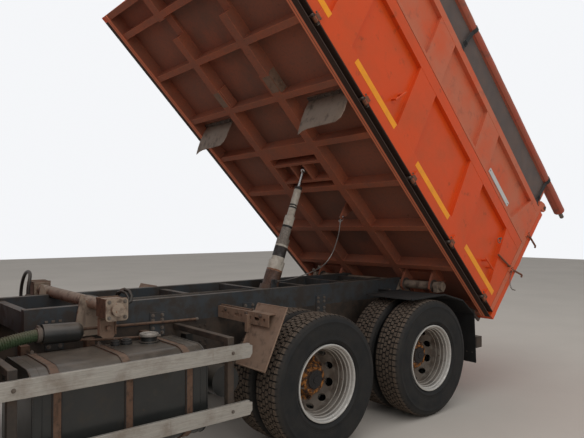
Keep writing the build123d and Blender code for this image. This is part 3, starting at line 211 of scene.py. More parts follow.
class Effects:
    """The shader groups that several finishes share: blotches, runs, worn edges, settled dust and dents."""

    blotch = Group("blotches", (("Vector", "Vector", 0), ("Scale", "Float", 4), ("Coverage", "Float", 0.5),
                                ("Softness", "Float", 0.08)), (("Mask", "Float"),))
    run = Group("runs", (("Vector", "Vector", 0), ("Scale", "Float", 8), ("Length", "Float", 8),
                         ("Coverage", "Float", 0.4)), (("Mask", "Float"),))
    worn = Group("worn_edges", (("Vector", "Vector", 0), ("Width", "Float", 0.01), ("Amount", "Float", 0.5)),
                 (("Mask", "Float"), ("Edge", "Float")))
    dust = Group("settled_dust", (("Vector", "Vector", 0), ("Normal", "Vector", 0), ("Amount", "Float", 0.5)),
                 (("Mask", "Float"),))
    dent = Group("dents", (("Vector", "Vector", 0), ("Scale", "Float", 3), ("Fine", "Float", 60)),
                 (("Height", "Float"),))

    def __init__(self) -> None:
        """Build every group once."""
        self.groups: dict[str, bpy.types.NodeTree] = {}
        for kind in (self.blotch, self.run, self.worn, self.dust, self.dent):
            tree, given, result = kind.open()
            self.groups[kind.name] = tree.tree
            ends = result.inputs if len(kind.outputs) > 1 else result.inputs[0]
            getattr(self, "fill_" + kind.name)(tree, given.outputs, ends)

    def fill_blotches(self, tree: Tree, given: object, result: bpy.types.NodeSocket) -> None:
        """Cloudy patches that cover a given share."""
        cloud = tree.node("ShaderNodeTexNoise", Vector=given["Vector"], Scale=given["Scale"], Detail=7,
                          Roughness=0.62)
        edge = tree.sum("MULTIPLY_ADD", given["Coverage"], -0.5, 0.75)
        low = tree.sum("SUBTRACT", edge, given["Softness"])
        high = tree.sum("ADD", edge, given["Softness"])
        tree.feed(result, tree.ramp(cloud, low, high))

    def fill_runs(self, tree: Tree, given: object, result: bpy.types.NodeSocket) -> None:
        """Streaks that run down the surface."""
        squeeze = tree.sum("DIVIDE", 1.0, given["Length"])
        scale = tree.node("ShaderNodeCombineXYZ", X=1.0, Y=1.0, Z=squeeze)
        drawn = tree.node("ShaderNodeVectorMath", {"operation": "MULTIPLY"}, _0=given["Vector"], _1=scale)
        streak = tree.node("ShaderNodeTexNoise", Vector=drawn, Scale=given["Scale"], Detail=5, Roughness=0.6)
        edge = tree.sum("MULTIPLY_ADD", given["Coverage"], -0.5, 0.75)
        tree.feed(result, tree.ramp(streak, edge, tree.sum("ADD", edge, 0.16)))

    def fill_worn_edges(self, tree: Tree, given: object, results: object) -> None:
        """Chipped places along sharp edges, and the whole line of those edges."""
        soft = tree.node("ShaderNodeBevel", {"samples": 4}, Radius=given["Width"])
        face = tree.node("ShaderNodeNewGeometry")
        same = tree.node("ShaderNodeVectorMath", {"operation": "DOT_PRODUCT"}, _0=soft,
                         _1=face.outputs["Normal"])
        edge = tree.ramp(same.outputs["Value"], 0.995, 0.86)
        chips = tree.node("ShaderNodeTexNoise", Vector=given["Vector"], Scale=34, Detail=5, Roughness=0.7)
        low = tree.sum("MULTIPLY_ADD", given["Amount"], -0.4, 0.7)
        mask = tree.ramp(chips, low, tree.sum("ADD", low, 0.1))
        tree.feed(results[0], tree.times(edge, mask))
        tree.feed(results[1], edge)

    def fill_settled_dust(self, tree: Tree, given: object, result: bpy.types.NodeSocket) -> None:
        """Dust on what faces up."""
        parts = tree.node("ShaderNodeSeparateXYZ", Vector=given["Normal"])
        up = tree.ramp(parts.outputs["Z"], -0.1, 1.0, 0.05, 1.0)
        cloud = tree.node("ShaderNodeTexNoise", Vector=given["Vector"], Scale=5, Detail=8, Roughness=0.65)
        mask = tree.times(up, tree.ramp(cloud, 0.3, 0.7, 0.45, 1.0))
        tree.feed(result, tree.times(mask, given["Amount"]))

    def fill_dents(self, tree: Tree, given: object, result: bpy.types.NodeSocket) -> None:
        """Shallow dents with a fine grain on top."""
        broad = tree.node("ShaderNodeTexNoise", Vector=given["Vector"], Scale=given["Scale"], Detail=2)
        fine = tree.node("ShaderNodeTexNoise", Vector=given["Vector"], Scale=given["Fine"], Detail=4)
        tree.feed(result, tree.sum("MULTIPLY_ADD", fine, 0.06, broad.outputs[0]))


EFFECTS = Effects()


class Coat:
    """A material under construction: its tree, its Principled shader and its coordinates."""

    def __init__(self, name: str, turn: float = 0.0, centre: Point = (0.0, 0.0, 0.0)) -> None:
        """Start a material.

        Args:
            name: The material's name.
            turn: Degrees by which the pattern is turned about the cross axis.
            centre: The point that the pattern is centred on.
        """
        self.material = bpy.data.materials.new(name)
        self.material.use_nodes = True
        self.tree = Tree(self.material.node_tree)
        self.shader = self.tree.node("ShaderNodeBsdfPrincipled")
        out = self.tree.node("ShaderNodeOutputMaterial")
        self.tree.feed(out.inputs["Surface"], self.shader)
        place = self.tree.node("ShaderNodeTexCoord")
        shifted = self.tree.node("ShaderNodeVectorMath", {"operation": "SUBTRACT"},
                                 _0=place.outputs["Object"], _1=centre)
        turned = self.tree.node("ShaderNodeMapping", Vector=shifted)
        turned.inputs["Rotation"].default_value = (0, math.radians(turn), 0)
        self.vector = turned.outputs[0]
        self.normal = place.outputs["Normal"]

    def effect(self, kind: Group, output: int = 0, **inputs: object) -> bpy.types.NodeSocket:
        """Place a shared group with its own values.

        Args:
            kind: The group.
            output: Which of its outputs to take.
            inputs: Its values by input name.

        Returns:
            The group's output.
        """
        made = self.tree.node("ShaderNodeGroup", {"node_tree": EFFECTS.groups[kind.name]})
        for key, value in {"Vector": self.vector, **inputs}.items():
            self.tree.feed(made.inputs[key], value)
        return made.outputs[output]

    def blotch(self, scale: float, coverage: float, softness: float) -> bpy.types.NodeSocket:
        """Cloudy patches over a share of the surface."""
        return self.effect(EFFECTS.blotch, Scale=scale, Coverage=coverage, Softness=softness)

    def runs(self, scale: float, coverage: float, length: float) -> bpy.types.NodeSocket:
        """Streaks down the surface."""
        return self.effect(EFFECTS.run, Scale=scale, Coverage=coverage, Length=length)

    def dust(self, amount: float) -> bpy.types.NodeSocket:
        """Dust on what faces up."""
        return self.effect(EFFECTS.dust, Normal=self.normal, Amount=amount)

    def cloud(self, scale: float, detail: int, rough: float = 0.5) -> bpy.types.Node:
        """Plain noise."""
        return self.tree.node("ShaderNodeTexNoise", Vector=self.vector, Scale=scale, Detail=detail,
                              Roughness=rough)

    def reach(self) -> bpy.types.NodeSocket:
        """The distance from the cross axis through the pattern's centre."""
        parts = self.tree.node("ShaderNodeSeparateXYZ", Vector=self.vector)
        flat = self.tree.node("ShaderNodeCombineXYZ", X=parts.outputs["X"], Z=parts.outputs["Z"])
        return self.tree.node("ShaderNodeVectorMath", {"operation": "LENGTH"}, _0=flat).outputs["Value"]

    def bump(self, height: object, distance: float, strength: float = 1.0) -> None:
        """Feed a height to the shader's normal."""
        made = self.tree.node("ShaderNodeBump", Height=height, Distance=distance, Strength=strength)
        self.set(Normal=made)

    def set(self, **inputs: object) -> None:
        """Set or link sockets of the shader by name."""
        for key, value in inputs.items():
            self.tree.feed(self.shader.inputs[key.replace("_", " ")], value)


DUST: Colour = (0.27, 0.22, 0.17)
RUST: Colour = (0.13, 0.045, 0.018)


@dataclass(frozen=True)
class Painted:
    """Paint on steel: faded in places, grimy, chipped with a painted highlight along its edges and dusty on
    top.
    """

    name: str
    coat: Colour
    faded: Colour
    grime: Colour = (0.05, 0.035, 0.028)
    rust: Colour = RUST
    fading: float = 0.4
    dirt: float = 0.35
    rusting: float = 0.15
    chips: float = 0.4
    dust: float = 0.3
    rough: float = 0.42
    scale: float = 2.2
    turn: float = 0.0
    dents: float = 0.004
    coat_weight: float = 0.08
    # Strength of a painted highlight: a lighter colour along the edges that stands in for light caught by
    # them.
    edge_light: float = 0.0

    def material(self) -> bpy.types.Material:
        """Build the finish."""
        coat = Coat(self.name, self.turn)
        tree = coat.tree
        faded = coat.blotch(self.scale, self.fading, 0.18)
        blots = coat.blotch(self.scale * 4.3, self.dirt, 0.12)
        runs = coat.runs(self.scale * 6, self.dirt, 9.0)
        dirty = tree.times(tree.most(blots, tree.times(runs, 0.7)), 0.85)
        spots = coat.blotch(self.scale * 11, self.rusting, 0.05)
        edges = coat.effect(EFFECTS.worn, Width=0.012, Amount=self.chips)
        rusty = tree.most(spots, edges)
        dusty = coat.dust(self.dust)
        colour = tree.mixed(faded, self.coat, self.faded)
        colour = tree.mixed(dirty, colour, self.grime)
        # Painted highlight: the coat turns lighter along the edges' line, standing in for light that the
        # edges catch.
        if self.edge_light:
            line = tree.times(coat.effect(EFFECTS.worn, 1, Width=0.008), self.edge_light)
            light = tuple(0.25 + 0.75 * c ** 0.6 if i == 0 else 1.6 * c + 0.05
                          for i, c in enumerate(self.coat))
            colour = tree.mixed(line, colour, light)
        colour = tree.mixed(rusty, colour, self.rust)
        colour = tree.mixed(dusty, colour, DUST)
        worn = tree.most(rusty, tree.times(tree.most(dirty, dusty), 0.7))
        coat.set(Base_Color=colour, Roughness=tree.ramp(worn, 0.0, 1.0, self.rough, 0.88))
        coat.set(Coat_Weight=tree.ramp(worn, 0.0, 0.6, self.coat_weight, 0.0), Coat_Roughness=0.25)
        coat.set(Specular_IOR_Level=0.35)
        height = coat.effect(EFFECTS.dent, Scale=self.scale * 1.6, Fine=90.0)
        height = tree.sum("MULTIPLY_ADD", rusty, -0.12, height)
        coat.bump(height, self.dents)
        return coat.material


@dataclass(frozen=True)
class Underside:
    """The floor's underside: red-brown beams with a painted highlight on their edges over dirty panels, and
    the edge channels' lips beside a painted shadow of the channels' recess.
    """

    name: str
    beam: Colour = (0.400, 0.115, 0.055)
    beam_old: Colour = (0.270, 0.105, 0.066)
    panel: Colour = (0.240, 0.104, 0.074)
    soot: Colour = (0.082, 0.080, 0.068)
    lip: Colour = (0.720, 0.215, 0.110)
    # Painted shadow: a dark colour for the outer strip of the lower lip, standing in for the shade inside the
    # edge channel.
    recess: Colour = (0.052, 0.030, 0.022)

    def material(self) -> bpy.types.Material:
        """Build the finish."""
        coat = Coat(self.name, math.degrees(TIP), tuple(PIVOT))
        tree = coat.tree
        parts = tree.node("ShaderNodeSeparateXYZ", Vector=coat.vector)
        across, height = tree.sum("ABSOLUTE", parts.outputs["Y"]), parts.outputs["Z"]
        broad = tree.ramp(coat.cloud(1.7, 4), 0.34, 0.54)
        patch = coat.blotch(3.4, 0.5, 0.28)
        grain = coat.blotch(46.0, 0.34, 0.16)
        specks = coat.blotch(30.0, 0.10, 0.04)
        edge = coat.effect(EFFECTS.worn, 1, Width=0.010)
        beam = tree.mixed(patch, self.beam, self.beam_old)
        # Painted highlight: the beams turn lighter along their edges' line, standing in for light caught by
        # the edges.
        beam = tree.mixed(tree.times(edge, 0.55), beam, tuple(1.7 * c for c in self.beam))
        centre = tree.ramp(across, 0.75, 0.30, 0.30, 1.0)
        sooty = tree.times(tree.times(broad, centre), 0.85)
        panel = tree.mixed(sooty, tree.mixed(tree.times(patch, 0.5), self.panel, self.beam_old), self.soot)
        colour = tree.mixed(tree.ramp(height, 0.176, 0.184), beam, panel)
        colour = tree.mixed(tree.times(grain, 0.30), colour, self.soot)
        colour = tree.mixed(specks, colour, RUST)
        # Painted shadow: the lip's outer strip is painted dark where the channel's recess would lie in shade.
        recess = tree.times(tree.ramp(height, 0.194, 0.190), tree.ramp(across, 1.151, 1.155))
        colour = tree.mixed(recess, colour, self.recess)
        lip = tree.times(tree.ramp(height, 0.067, 0.064), tree.ramp(across, 1.140, 1.150))
        lip = tree.times(lip, tree.ramp(across, 1.197, 1.193))
        line = tree.times(tree.ramp(across, 1.166, 1.169), tree.ramp(across, 1.176, 1.173))
        lip = tree.times(lip, tree.ramp(line, 0.0, 1.0, 1.0, 0.35))
        colour = tree.mixed(lip, colour, self.lip)
        coat.set(Base_Color=colour, Roughness=0.72, Specular_IOR_Level=0.3)
        coat.bump(coat.effect(EFFECTS.dent, Scale=4.0, Fine=110.0), 0.004)
        return coat.material


@dataclass(frozen=True)
class Bare:
    """Bare or plated metal with brushed streaks, stains and dulled patches."""

    name: str
    metal: Colour
    stain: Colour = (0.10, 0.07, 0.05)
    staining: float = 0.3
    rough: float = 0.38
    metallic: float = 0.85
    brush: Point = (1.0, 30.0, 30.0)
    dust: float = 0.2

    def material(self) -> bpy.types.Material:
        """Build the finish."""
        coat = Coat(self.name)
        tree = coat.tree
        drawn = tree.node("ShaderNodeVectorMath", {"operation": "MULTIPLY"}, _0=coat.vector, _1=self.brush)
        lines = tree.node("ShaderNodeTexNoise", Vector=drawn, Scale=9, Detail=6, Roughness=0.7)
        stained = coat.blotch(6.0, self.staining, 0.2)
        runs = coat.runs(14.0, self.staining, 7.0)
        dirty = tree.times(tree.most(stained, runs), 0.7)
        dusty = coat.dust(self.dust)
        light = tree.mixed(tree.ramp(lines, 0.3, 0.7), self.metal, tuple(0.72 * c for c in self.metal))
        colour = tree.mixed(dusty, tree.mixed(dirty, light, self.stain), DUST)
        covered = tree.most(dirty, dusty)
        coat.set(Base_Color=colour, Metallic=tree.ramp(covered, 0.0, 1.0, self.metallic, 0.1))
        coat.set(Roughness=tree.ramp(tree.sum("ADD", covered, tree.times(lines, 0.3)), 0.1, 1.0, self.rough,
                                     0.8))
        coat.bump(lines, 0.0006, 0.5)
        return coat.material


@dataclass(frozen=True)
class Wheel:
    """A silver rim whose hub is rusty towards the middle and dark at its centre."""

    name: str
    centre: Point
    hub_r: float = 0.180
    cap_r: float = 0.078

    def material(self) -> bpy.types.Material:
        """Build the finish."""
        coat = Coat(self.name, 0.0, self.centre)
        tree = coat.tree
        reach = coat.reach()
        ragged = coat.cloud(26, 5, 0.7)
        grooves = tree.sum("ADD", self.groove(tree, reach, 0.2465), self.groove(tree, reach, 0.2565))
        grooves = tree.sum("ADD", grooves, self.groove(tree, reach, 0.2670))
        bright = tree.ramp(reach, 0.242, 0.283)
        reach = tree.sum("MULTIPLY_ADD", tree.sum("SUBTRACT", ragged, 0.5), 0.03, reach)
        hub = tree.ramp(reach, self.hub_r + 0.012, self.hub_r - 0.012)
        cap = tree.ramp(reach, self.cap_r + 0.01, self.cap_r - 0.01)
        flakes = coat.blotch(34.0, 0.5, 0.05)
        grime = coat.blotch(9.0, 0.42, 0.2)
        spots = coat.blotch(48.0, 0.12, 0.03)
        inner = tree.ramp(reach, 0.254, 0.232)
        brown = tree.most(tree.times(grime, 0.5), tree.times(inner, 0.75))
        silver = tree.mixed(bright, (0.36, 0.33, 0.29), (0.62, 0.60, 0.56))
        silver = tree.mixed(brown, silver, (0.125, 0.092, 0.066))
        silver = tree.mixed(tree.times(grooves, 0.75), silver, (0.075, 0.055, 0.040))
        silver = tree.mixed(spots, silver, RUST)
        rusty = tree.mixed(flakes, (0.055, 0.030, 0.020), (0.34, 0.13, 0.025))
        colour = tree.mixed(cap, tree.mixed(hub, silver, rusty), (0.022, 0.019, 0.018))
        coat.set(Base_Color=colour, Metallic=tree.ramp(tree.most(hub, grime), 0.0, 1.0, 0.55, 0.0))
        coat.set(Roughness=tree.ramp(tree.most(hub, grime), 0.0, 1.0, 0.36, 0.85))
        coat.bump(tree.times(flakes, hub), 0.002)
        return coat.material

    def groove(self, tree: Tree, reach: bpy.types.NodeSocket, radius: float) -> bpy.types.NodeSocket:
        """The dirt that lies in one step of the rim."""
        return tree.times(tree.ramp(reach, radius - 0.0035, radius),
                          tree.ramp(reach, radius + 0.0022, radius))


@dataclass(frozen=True)
class Rubber:
    """Dusty tyre rubber: brown dust in the tread, moulded rings and a grey bloom on the sidewall."""

    name: str
    centre: Point
    tread_r: float = 0.500

    def material(self) -> bpy.types.Material:
        """Build the finish."""
        coat = Coat(self.name, 0.0, self.centre)
        tree = coat.tree
        reach = coat.reach()
        outer = tree.ramp(reach, self.tread_r - 0.02, self.tread_r + 0.012)
        top = tree.ramp(reach, self.tread_r + 0.016, self.tread_r + 0.025, 0.12, 1.0)
        cloud = coat.blotch(7.0, 0.55, 0.25)
        specks = coat.blotch(60.0, 0.4, 0.1)
        wall = tree.mixed(tree.times(cloud, 0.5), (0.0125, 0.0135, 0.0145), (0.036, 0.032, 0.027))
        dusty = tree.times(tree.times(outer, top), tree.ramp(specks, 0.0, 1.0, 0.55, 1.0))
        colour = tree.mixed(dusty, wall, (0.165, 0.122, 0.090))
        rings = tree.sum("SINE", tree.times(reach, 520.0))
        flank = tree.times(tree.ramp(reach, 0.30, 0.31), tree.ramp(reach, 0.40, 0.36))
        grain = coat.cloud(140, 3)
        height = tree.sum("MULTIPLY_ADD", tree.times(rings, flank), 0.4, grain)
        coat.set(Base_Color=colour, Roughness=tree.ramp(dusty, 0.0, 1.0, 0.66, 0.95), Specular_IOR_Level=0.22)
        coat.bump(height, 0.0012)
        return coat.material


@dataclass(frozen=True)
class Clear:
    """Tinted glass with a film of dust."""

    name: str
    tint: Colour = (0.72, 0.80, 0.78)

    def material(self) -> bpy.types.Material:
        """Build the finish."""
        coat = Coat(self.name)
        film = coat.blotch(3.0, 0.5, 0.3)
        coat.set(Base_Color=coat.tree.mixed(coat.tree.times(film, 0.4), self.tint, DUST))
        coat.set(Roughness=coat.tree.ramp(film, 0.0, 1.0, 0.03, 0.16), Transmission_Weight=0.92, IOR=1.45)
        return coat.material


@dataclass(frozen=True)
class Moulded:
    """Matt moulded plastic, rubber sheet or lens with grain and dust."""

    name: str
    colour: Colour
    rough: float = 0.6
    dust: float = 0.4
    grain: float = 180.0
    relief: float = 0.0008

    def material(self) -> bpy.types.Material:
        """Build the finish."""
        coat = Coat(self.name)
        tree = coat.tree
        dusty = coat.dust(self.dust)
        cloud = coat.blotch(8.0, 0.4, 0.25)
        tone = tree.mixed(tree.times(cloud, 0.5), self.colour, tuple(0.6 * c + 0.02 for c in self.colour))
        coat.set(Base_Color=tree.mixed(dusty, tone, DUST),
                 Roughness=tree.ramp(dusty, 0.0, 1.0, self.rough, 0.9))
        grain = coat.cloud(self.grain, 3)
        coat.bump(grain, self.relief)
        return coat.material


@dataclass(frozen=True)
class Woven:
    """Woven cloth or coated canvas, faded on its folds."""

    name: str
    thread: Colour
    faded: Colour
    pitch: float = 420.0
    turn: float = 0.0

    def material(self) -> bpy.types.Material:
        """Build the finish."""
        coat = Coat(self.name, self.turn)
        tree = coat.tree
        parts = tree.node("ShaderNodeSeparateXYZ", Vector=coat.vector)
        warp = tree.sum("SINE", tree.times(parts.outputs["X"], self.pitch))
        weft = tree.sum("SINE",
                        tree.times(tree.sum("ADD", parts.outputs["Y"], parts.outputs["Z"]), self.pitch))
        weave = tree.times(warp, weft)
        faded = coat.blotch(5.0, 0.5, 0.22)
        dirty = coat.runs(9.0, 0.4, 5.0)
        colour = tree.mixed(faded, self.thread, self.faded)
        colour = tree.mixed(tree.times(dirty, 0.5), colour, (0.09, 0.06, 0.045))
        coat.set(Base_Color=colour, Roughness=tree.ramp(faded, 0.0, 1.0, 0.6, 0.85), Sheen_Weight=0.2)
        coat.bump(weave, 0.0006, 0.6)
        return coat.material


@dataclass(frozen=True)
class Banded:
    """A cylinder stage: dirty paint with bands of other colours at given distances along its line."""

    name: str
    bands: tuple[tuple[float, float, Colour], ...]
    paint: Colour = (0.62, 0.57, 0.48)

    def material(self) -> bpy.types.Material:
        """Build the finish."""
        lean = math.degrees(math.atan2(-CYLINDER_LINE.x, CYLINDER_LINE.z))
        coat = Coat(self.name, lean, tuple(TRUNNION))
        tree = coat.tree
        along = tree.node("ShaderNodeSeparateXYZ", Vector=coat.vector).outputs["Z"]
        ragged = coat.cloud(30, 5)
        along = tree.sum("MULTIPLY_ADD", tree.sum("SUBTRACT", ragged, 0.5), 0.012, along)
        dirty = coat.blotch(22.0, 0.45, 0.2)
        runs = coat.runs(40.0, 0.3, 12.0)
        colour = tree.mixed(tree.times(dirty, 0.45), self.paint, (0.20, 0.15, 0.11))
        colour = tree.mixed(tree.times(runs, 0.8), colour, (0.07, 0.045, 0.03))
        flakes = coat.blotch(60.0, 0.4, 0.1)
        for low, high, band in self.bands:
            rise = tree.ramp(along, low - 0.003, low + 0.003)
            inside = tree.times(rise, tree.ramp(along, high + 0.003, high - 0.003))
            tone = tree.mixed(tree.times(flakes, 0.6), band, tuple(1.9 * c + 0.004 for c in band))
            colour = tree.mixed(inside, colour, tone)
        coat.set(Base_Color=colour, Roughness=tree.ramp(dirty, 0.0, 1.0, 0.42, 0.8))
        coat.bump(dirty, 0.0008)
        return coat.material


DARK: Colour = (0.034, 0.028, 0.025)
BLACK: Colour = (0.010, 0.009, 0.009)
FINISHES = {
    "board": Painted("board_orange", (0.70, 0.072, 0.006), (0.56, 0.078, 0.014), grime=(0.20, 0.050, 0.020),
                     fading=0.34, dirt=0.08, rusting=0.005, chips=0.10, dust=0.05, rough=0.42, turn=BED_TURN,
                     coat_weight=0.10, dents=0.006, edge_light=0.35),
    "extension": Painted("extension_faded", (0.64, 0.100, 0.030), (0.54, 0.150, 0.076),
                         grime=(0.36, 0.11, 0.065), fading=0.60, dirt=0.22, rusting=0.006, chips=0.10,
                         dust=0.08, rough=0.55, turn=BED_TURN, edge_light=0.3),
    "under": Underside("bed_underside"),
    "frame": Painted("frame_blue_grey", (0.030, 0.040, 0.048), (0.052, 0.056, 0.058),
                     grime=(0.040, 0.030, 0.023), rust=(0.075, 0.040, 0.024), fading=0.45, dirt=0.50,
                     rusting=0.10, chips=0.30, dust=0.45, rough=0.62, scale=1.6),
    "rails": Painted("rails_black", (0.026, 0.020, 0.016), (0.052, 0.039, 0.030), grime=(0.070, 0.048, 0.034),
                     rust=(0.080, 0.040, 0.022), dirt=0.45, rusting=0.14, dust=0.35, rough=0.7),
    "tube": Painted("tube_grey", (0.330, 0.255, 0.190), (0.230, 0.175, 0.130), grime=(0.09, 0.06, 0.045),
                    rust=(0.20, 0.065, 0.022), dirt=0.35, rusting=0.14, dust=0.25, rough=0.68, scale=3.0),
    "cast": Painted("cast_dirty", (0.030, 0.026, 0.023), (0.050, 0.040, 0.033), dirt=0.5, rusting=0.25,
                    dust=0.3, rough=0.8, scale=5.0),
    "tank": Painted("tank_slate", (0.012, 0.0145, 0.015), (0.022, 0.024, 0.023), grime=(0.036, 0.029, 0.022),
                    dirt=0.22, rusting=0.005, chips=0.10, dust=0.50, rough=0.28, coat_weight=0.3),
    "strap": Painted("strap_rusty", (0.125, 0.066, 0.040), (0.165, 0.100, 0.066), grime=(0.045, 0.028, 0.018),
                     rust=(0.15, 0.055, 0.022), rusting=0.22, dirt=0.35, rough=0.78, scale=6.0),
    "plate": Painted("plate_brown", (0.225, 0.138, 0.092), (0.265, 0.178, 0.126), grime=(0.10, 0.064, 0.045),
                     rust=(0.19, 0.085, 0.045), rusting=0.10, dirt=0.28, dust=0.3, rough=0.78, scale=4.0),
    "cab": Painted("cab_orange", (0.70, 0.082, 0.008), (0.58, 0.090, 0.018), grime=(0.15, 0.08, 0.05),
                   fading=0.25, dirt=0.12, rusting=0.02, chips=0.15, dust=0.10, rough=0.30, coat_weight=0.45,
                   dents=0.0015, edge_light=0.15),
    "flap": Painted("flap_grey", (0.265, 0.205, 0.158), (0.310, 0.258, 0.210), grime=(0.075, 0.058, 0.045),
                    dirt=0.3, rusting=0.03, dust=0.15, rough=0.6, turn=BED_TURN, edge_light=0.25),
    "guard": Bare("guard_aluminium", (0.48, 0.45, 0.40), stain=(0.16, 0.11, 0.07), staining=0.30, rough=0.48,
                  metallic=0.55),
    "rod": Bare("rod_bright", (0.62, 0.61, 0.60), staining=0.2, rough=0.2, metallic=1.0, dust=0.05),
    "zinc": Bare("zinc_fastener", (0.26, 0.235, 0.205), stain=(0.085, 0.048, 0.028), staining=0.55,
                 rough=0.55, metallic=0.6),
    "glass": Clear("cab_glazing"),
    "trim": Moulded("trim_black", (0.014, 0.014, 0.0145)),
    "sheet": Moulded("guard_rubber", (0.0045, 0.0040, 0.0035), rough=0.9, dust=0.03),
    "hose": Moulded("hose_black", (0.016, 0.014, 0.012), rough=0.55, dust=0.3),
    "lens": Moulded("lens_red", (0.40, 0.012, 0.008), rough=0.14, dust=0.1, grain=90.0),
    "cushion": Woven("seat_cloth", (0.040, 0.044, 0.052), (0.065, 0.068, 0.075), pitch=900.0),
    "cover": Woven("cover_orange", (0.40, 0.058, 0.022), (0.34, 0.088, 0.045), turn=BED_TURN),
    "canvas": Woven("canvas_grey", (0.062, 0.044, 0.038), (0.115, 0.072, 0.056), turn=BED_TURN),
    "white": Moulded("plate_white", (0.62, 0.62, 0.59), rough=0.4, dust=0.1),
    "amber": Moulded("marker_amber", (1.00, 0.36, 0.001), rough=0.3, dust=0.0, grain=300.0),
    "green": Moulded("hose_green", (0.034, 0.066, 0.022), rough=0.85, dust=0.45, grain=85.0, relief=0.010),
    "rope": Bare("rope_wire", (0.42, 0.41, 0.39), staining=0.4, rough=0.42, brush=(30.0, 30.0, 30.0)),
    "steel": Painted("hinge_steel", (0.075, 0.060, 0.050), (0.110, 0.085, 0.070), grime=(0.045, 0.030, 0.022),
                     rust=(0.12, 0.045, 0.020), dirt=0.35, rusting=0.22, dust=0.2, rough=0.6, scale=6.0),
    "mirror": Bare("bright_glass", (0.80, 0.81, 0.82), staining=0.05, rough=0.05, metallic=1.0, dust=0.05),
    "clear_lens": Clear("lamp_clear", (0.88, 0.88, 0.86)),
    "hinge": Painted("hinge_rusty", (0.200, 0.072, 0.034), (0.140, 0.062, 0.036), grime=(0.05, 0.030, 0.020),
                     rust=(0.16, 0.060, 0.025), rusting=0.25, dirt=0.3, rough=0.75, scale=8.0),
    "barrel": Banded("barrel_rusty", (), (0.100, 0.052, 0.032)),
    "stage_1": Banded("stage_1_white",
                      ((0.0, 0.335, (0.085, 0.044, 0.028)), (0.335, 0.350, (0.20, 0.075, 0.030)))),
    "stage_2": Banded("stage_2_white", ((0.482, 0.586, DARK), (0.606, 0.680, (0.20, 0.17, 0.14)))),
    "stage_3": Banded("stage_3_white", ((0.600, 0.788, (0.21, 0.18, 0.15)), (0.788, 0.812, BLACK))),
    "stage_4": Banded("stage_4_white", ((1.000, 1.016, BLACK), (1.026, 1.042, BLACK), (1.205, 1.240, DARK))),
}


class Shop:
    """Hands out each finish as a material, built once."""

    def __init__(self) -> None:
        """Start with nothing built."""
        self.made: dict[str, bpy.types.Material] = {}

    def __getitem__(self, name: str) -> bpy.types.Material:
        """The material of a finish."""
        if name not in self.made:
            self.made[name] = FINISHES[name].material()
        return self.made[name]

    def own(self, finish: Wheel | Rubber) -> bpy.types.Material:
        """The material of a finish that is centred on one wheel."""
        if finish.name not in self.made:
            self.made[finish.name] = finish.material()
        return self.made[finish.name]


SHOP = Shop()


def dress(node: str, material: bpy.types.Material) -> None:
    """Give a node of the frame its finish."""
    piece = frame["nodes"][node]
    if not piece.material_slots:
        piece.data.materials.append(material)
    for holder in piece.material_slots:
        holder.material = material
    LOG.info("dressed %s in %s", node, material.name)


NODE_FINISHES = {
    "rails": ("frame_rails",),
    "frame": ("subframe",),
    "tube": ("cross_tubes",),
    "cast": ("front_axle", "drive_axles", "bogie_springs", "engine", "knuckle_left", "knuckle_right",
             "track_rod"),
    "tank": ("fuel_tank", "air_tanks", "battery_box"),
    "strap": ("tank_straps", "silencer"),
    "plate": ("mud_plates",),
    "guard": ("side_guards",),
    "sheet": ("mudguards",),
    "cab": ("cab_floor", "cab_shell", "cab_front", "door_left", "door_right", "front_bumper"),
    "glass": ("cab_glass", "door_glass_left", "door_glass_right"),
    "trim": ("dashboard", "mirrors"),
    "cushion": ("seats",),
    "lens": ("lamps",),
    "under": ("bed_floor",),
    "board": ("bed_front_wall", "side_board_left", "side_board_right", "tailgate"),
    "extension": ("bed_extensions",),
    "flap": ("bed_flaps",),
    "cover": ("tarp",),
    "barrel": ("cylinder_barrel",),
    "stage_1": ("cylinder_stage_1",),
    "stage_2": ("cylinder_stage_2",),
    "stage_3": ("cylinder_stage_3",),
    "stage_4": ("cylinder_stage_4",),
    "rod": ("cylinder_rod",),
}

# Bodies and material slots of the fitted pieces
ON_BED: Owner = ("bed", "bed_orange")
ON_FRAME: Owner = ("chassis", "chassis_paint")
ON_CAB: Owner = ("cab", "trim_black")
ON_GUARD: Owner = ("chassis", "guard_aluminium")
ON_TANK: Owner = ("chassis", "tank_paint")
ON_PLATE: Owner = ("chassis", "plate_brown")
ON_MUDGUARD: Owner = ("chassis", "guard_rubber")
ON_BUMPER: Owner = ("chassis", "bumper_paint")
LAMP: Owner = ("chassis", "lamp_lens")
WHEEL_PLACES = (("rear", "rims", "tyres"), ("drive", "rims", "tyres"), ("front", "rim", "tyre"))


def dress_frame() -> None:
    """Dress every node of the frame."""
    for finish, nodes in NODE_FINISHES.items():
        for node in nodes:
            dress(node, SHOP[finish])
    for axle, rim, tyre in WHEEL_PLACES:
        centre = tuple(middle(f"{axle}_{tyre}_left"))
        silver = SHOP.own(Wheel(f"wheel_{axle}", centre))
        rubber = SHOP.own(Rubber(f"rubber_{axle}", centre))
        for side in Side:
            dress(f"{axle}_{rim}_{side.word}", silver)
            dress(f"{axle}_{tyre}_{side.word}", rubber)


def linked(name: str, data: bpy.types.ID) -> bpy.types.Object:
    """Put a new object with this data into the scene."""
    made = bpy.data.objects.new(name, data)
    bpy.context.scene.collection.objects.link(made)
    return made


def evaluated(piece: bpy.types.Object) -> bpy.types.Mesh:
    """A piece's mesh as its modifiers leave it."""
    graph = bpy.context.evaluated_depsgraph_get()
    return bpy.data.meshes.new_from_object(piece.evaluated_get(graph), depsgraph=graph)


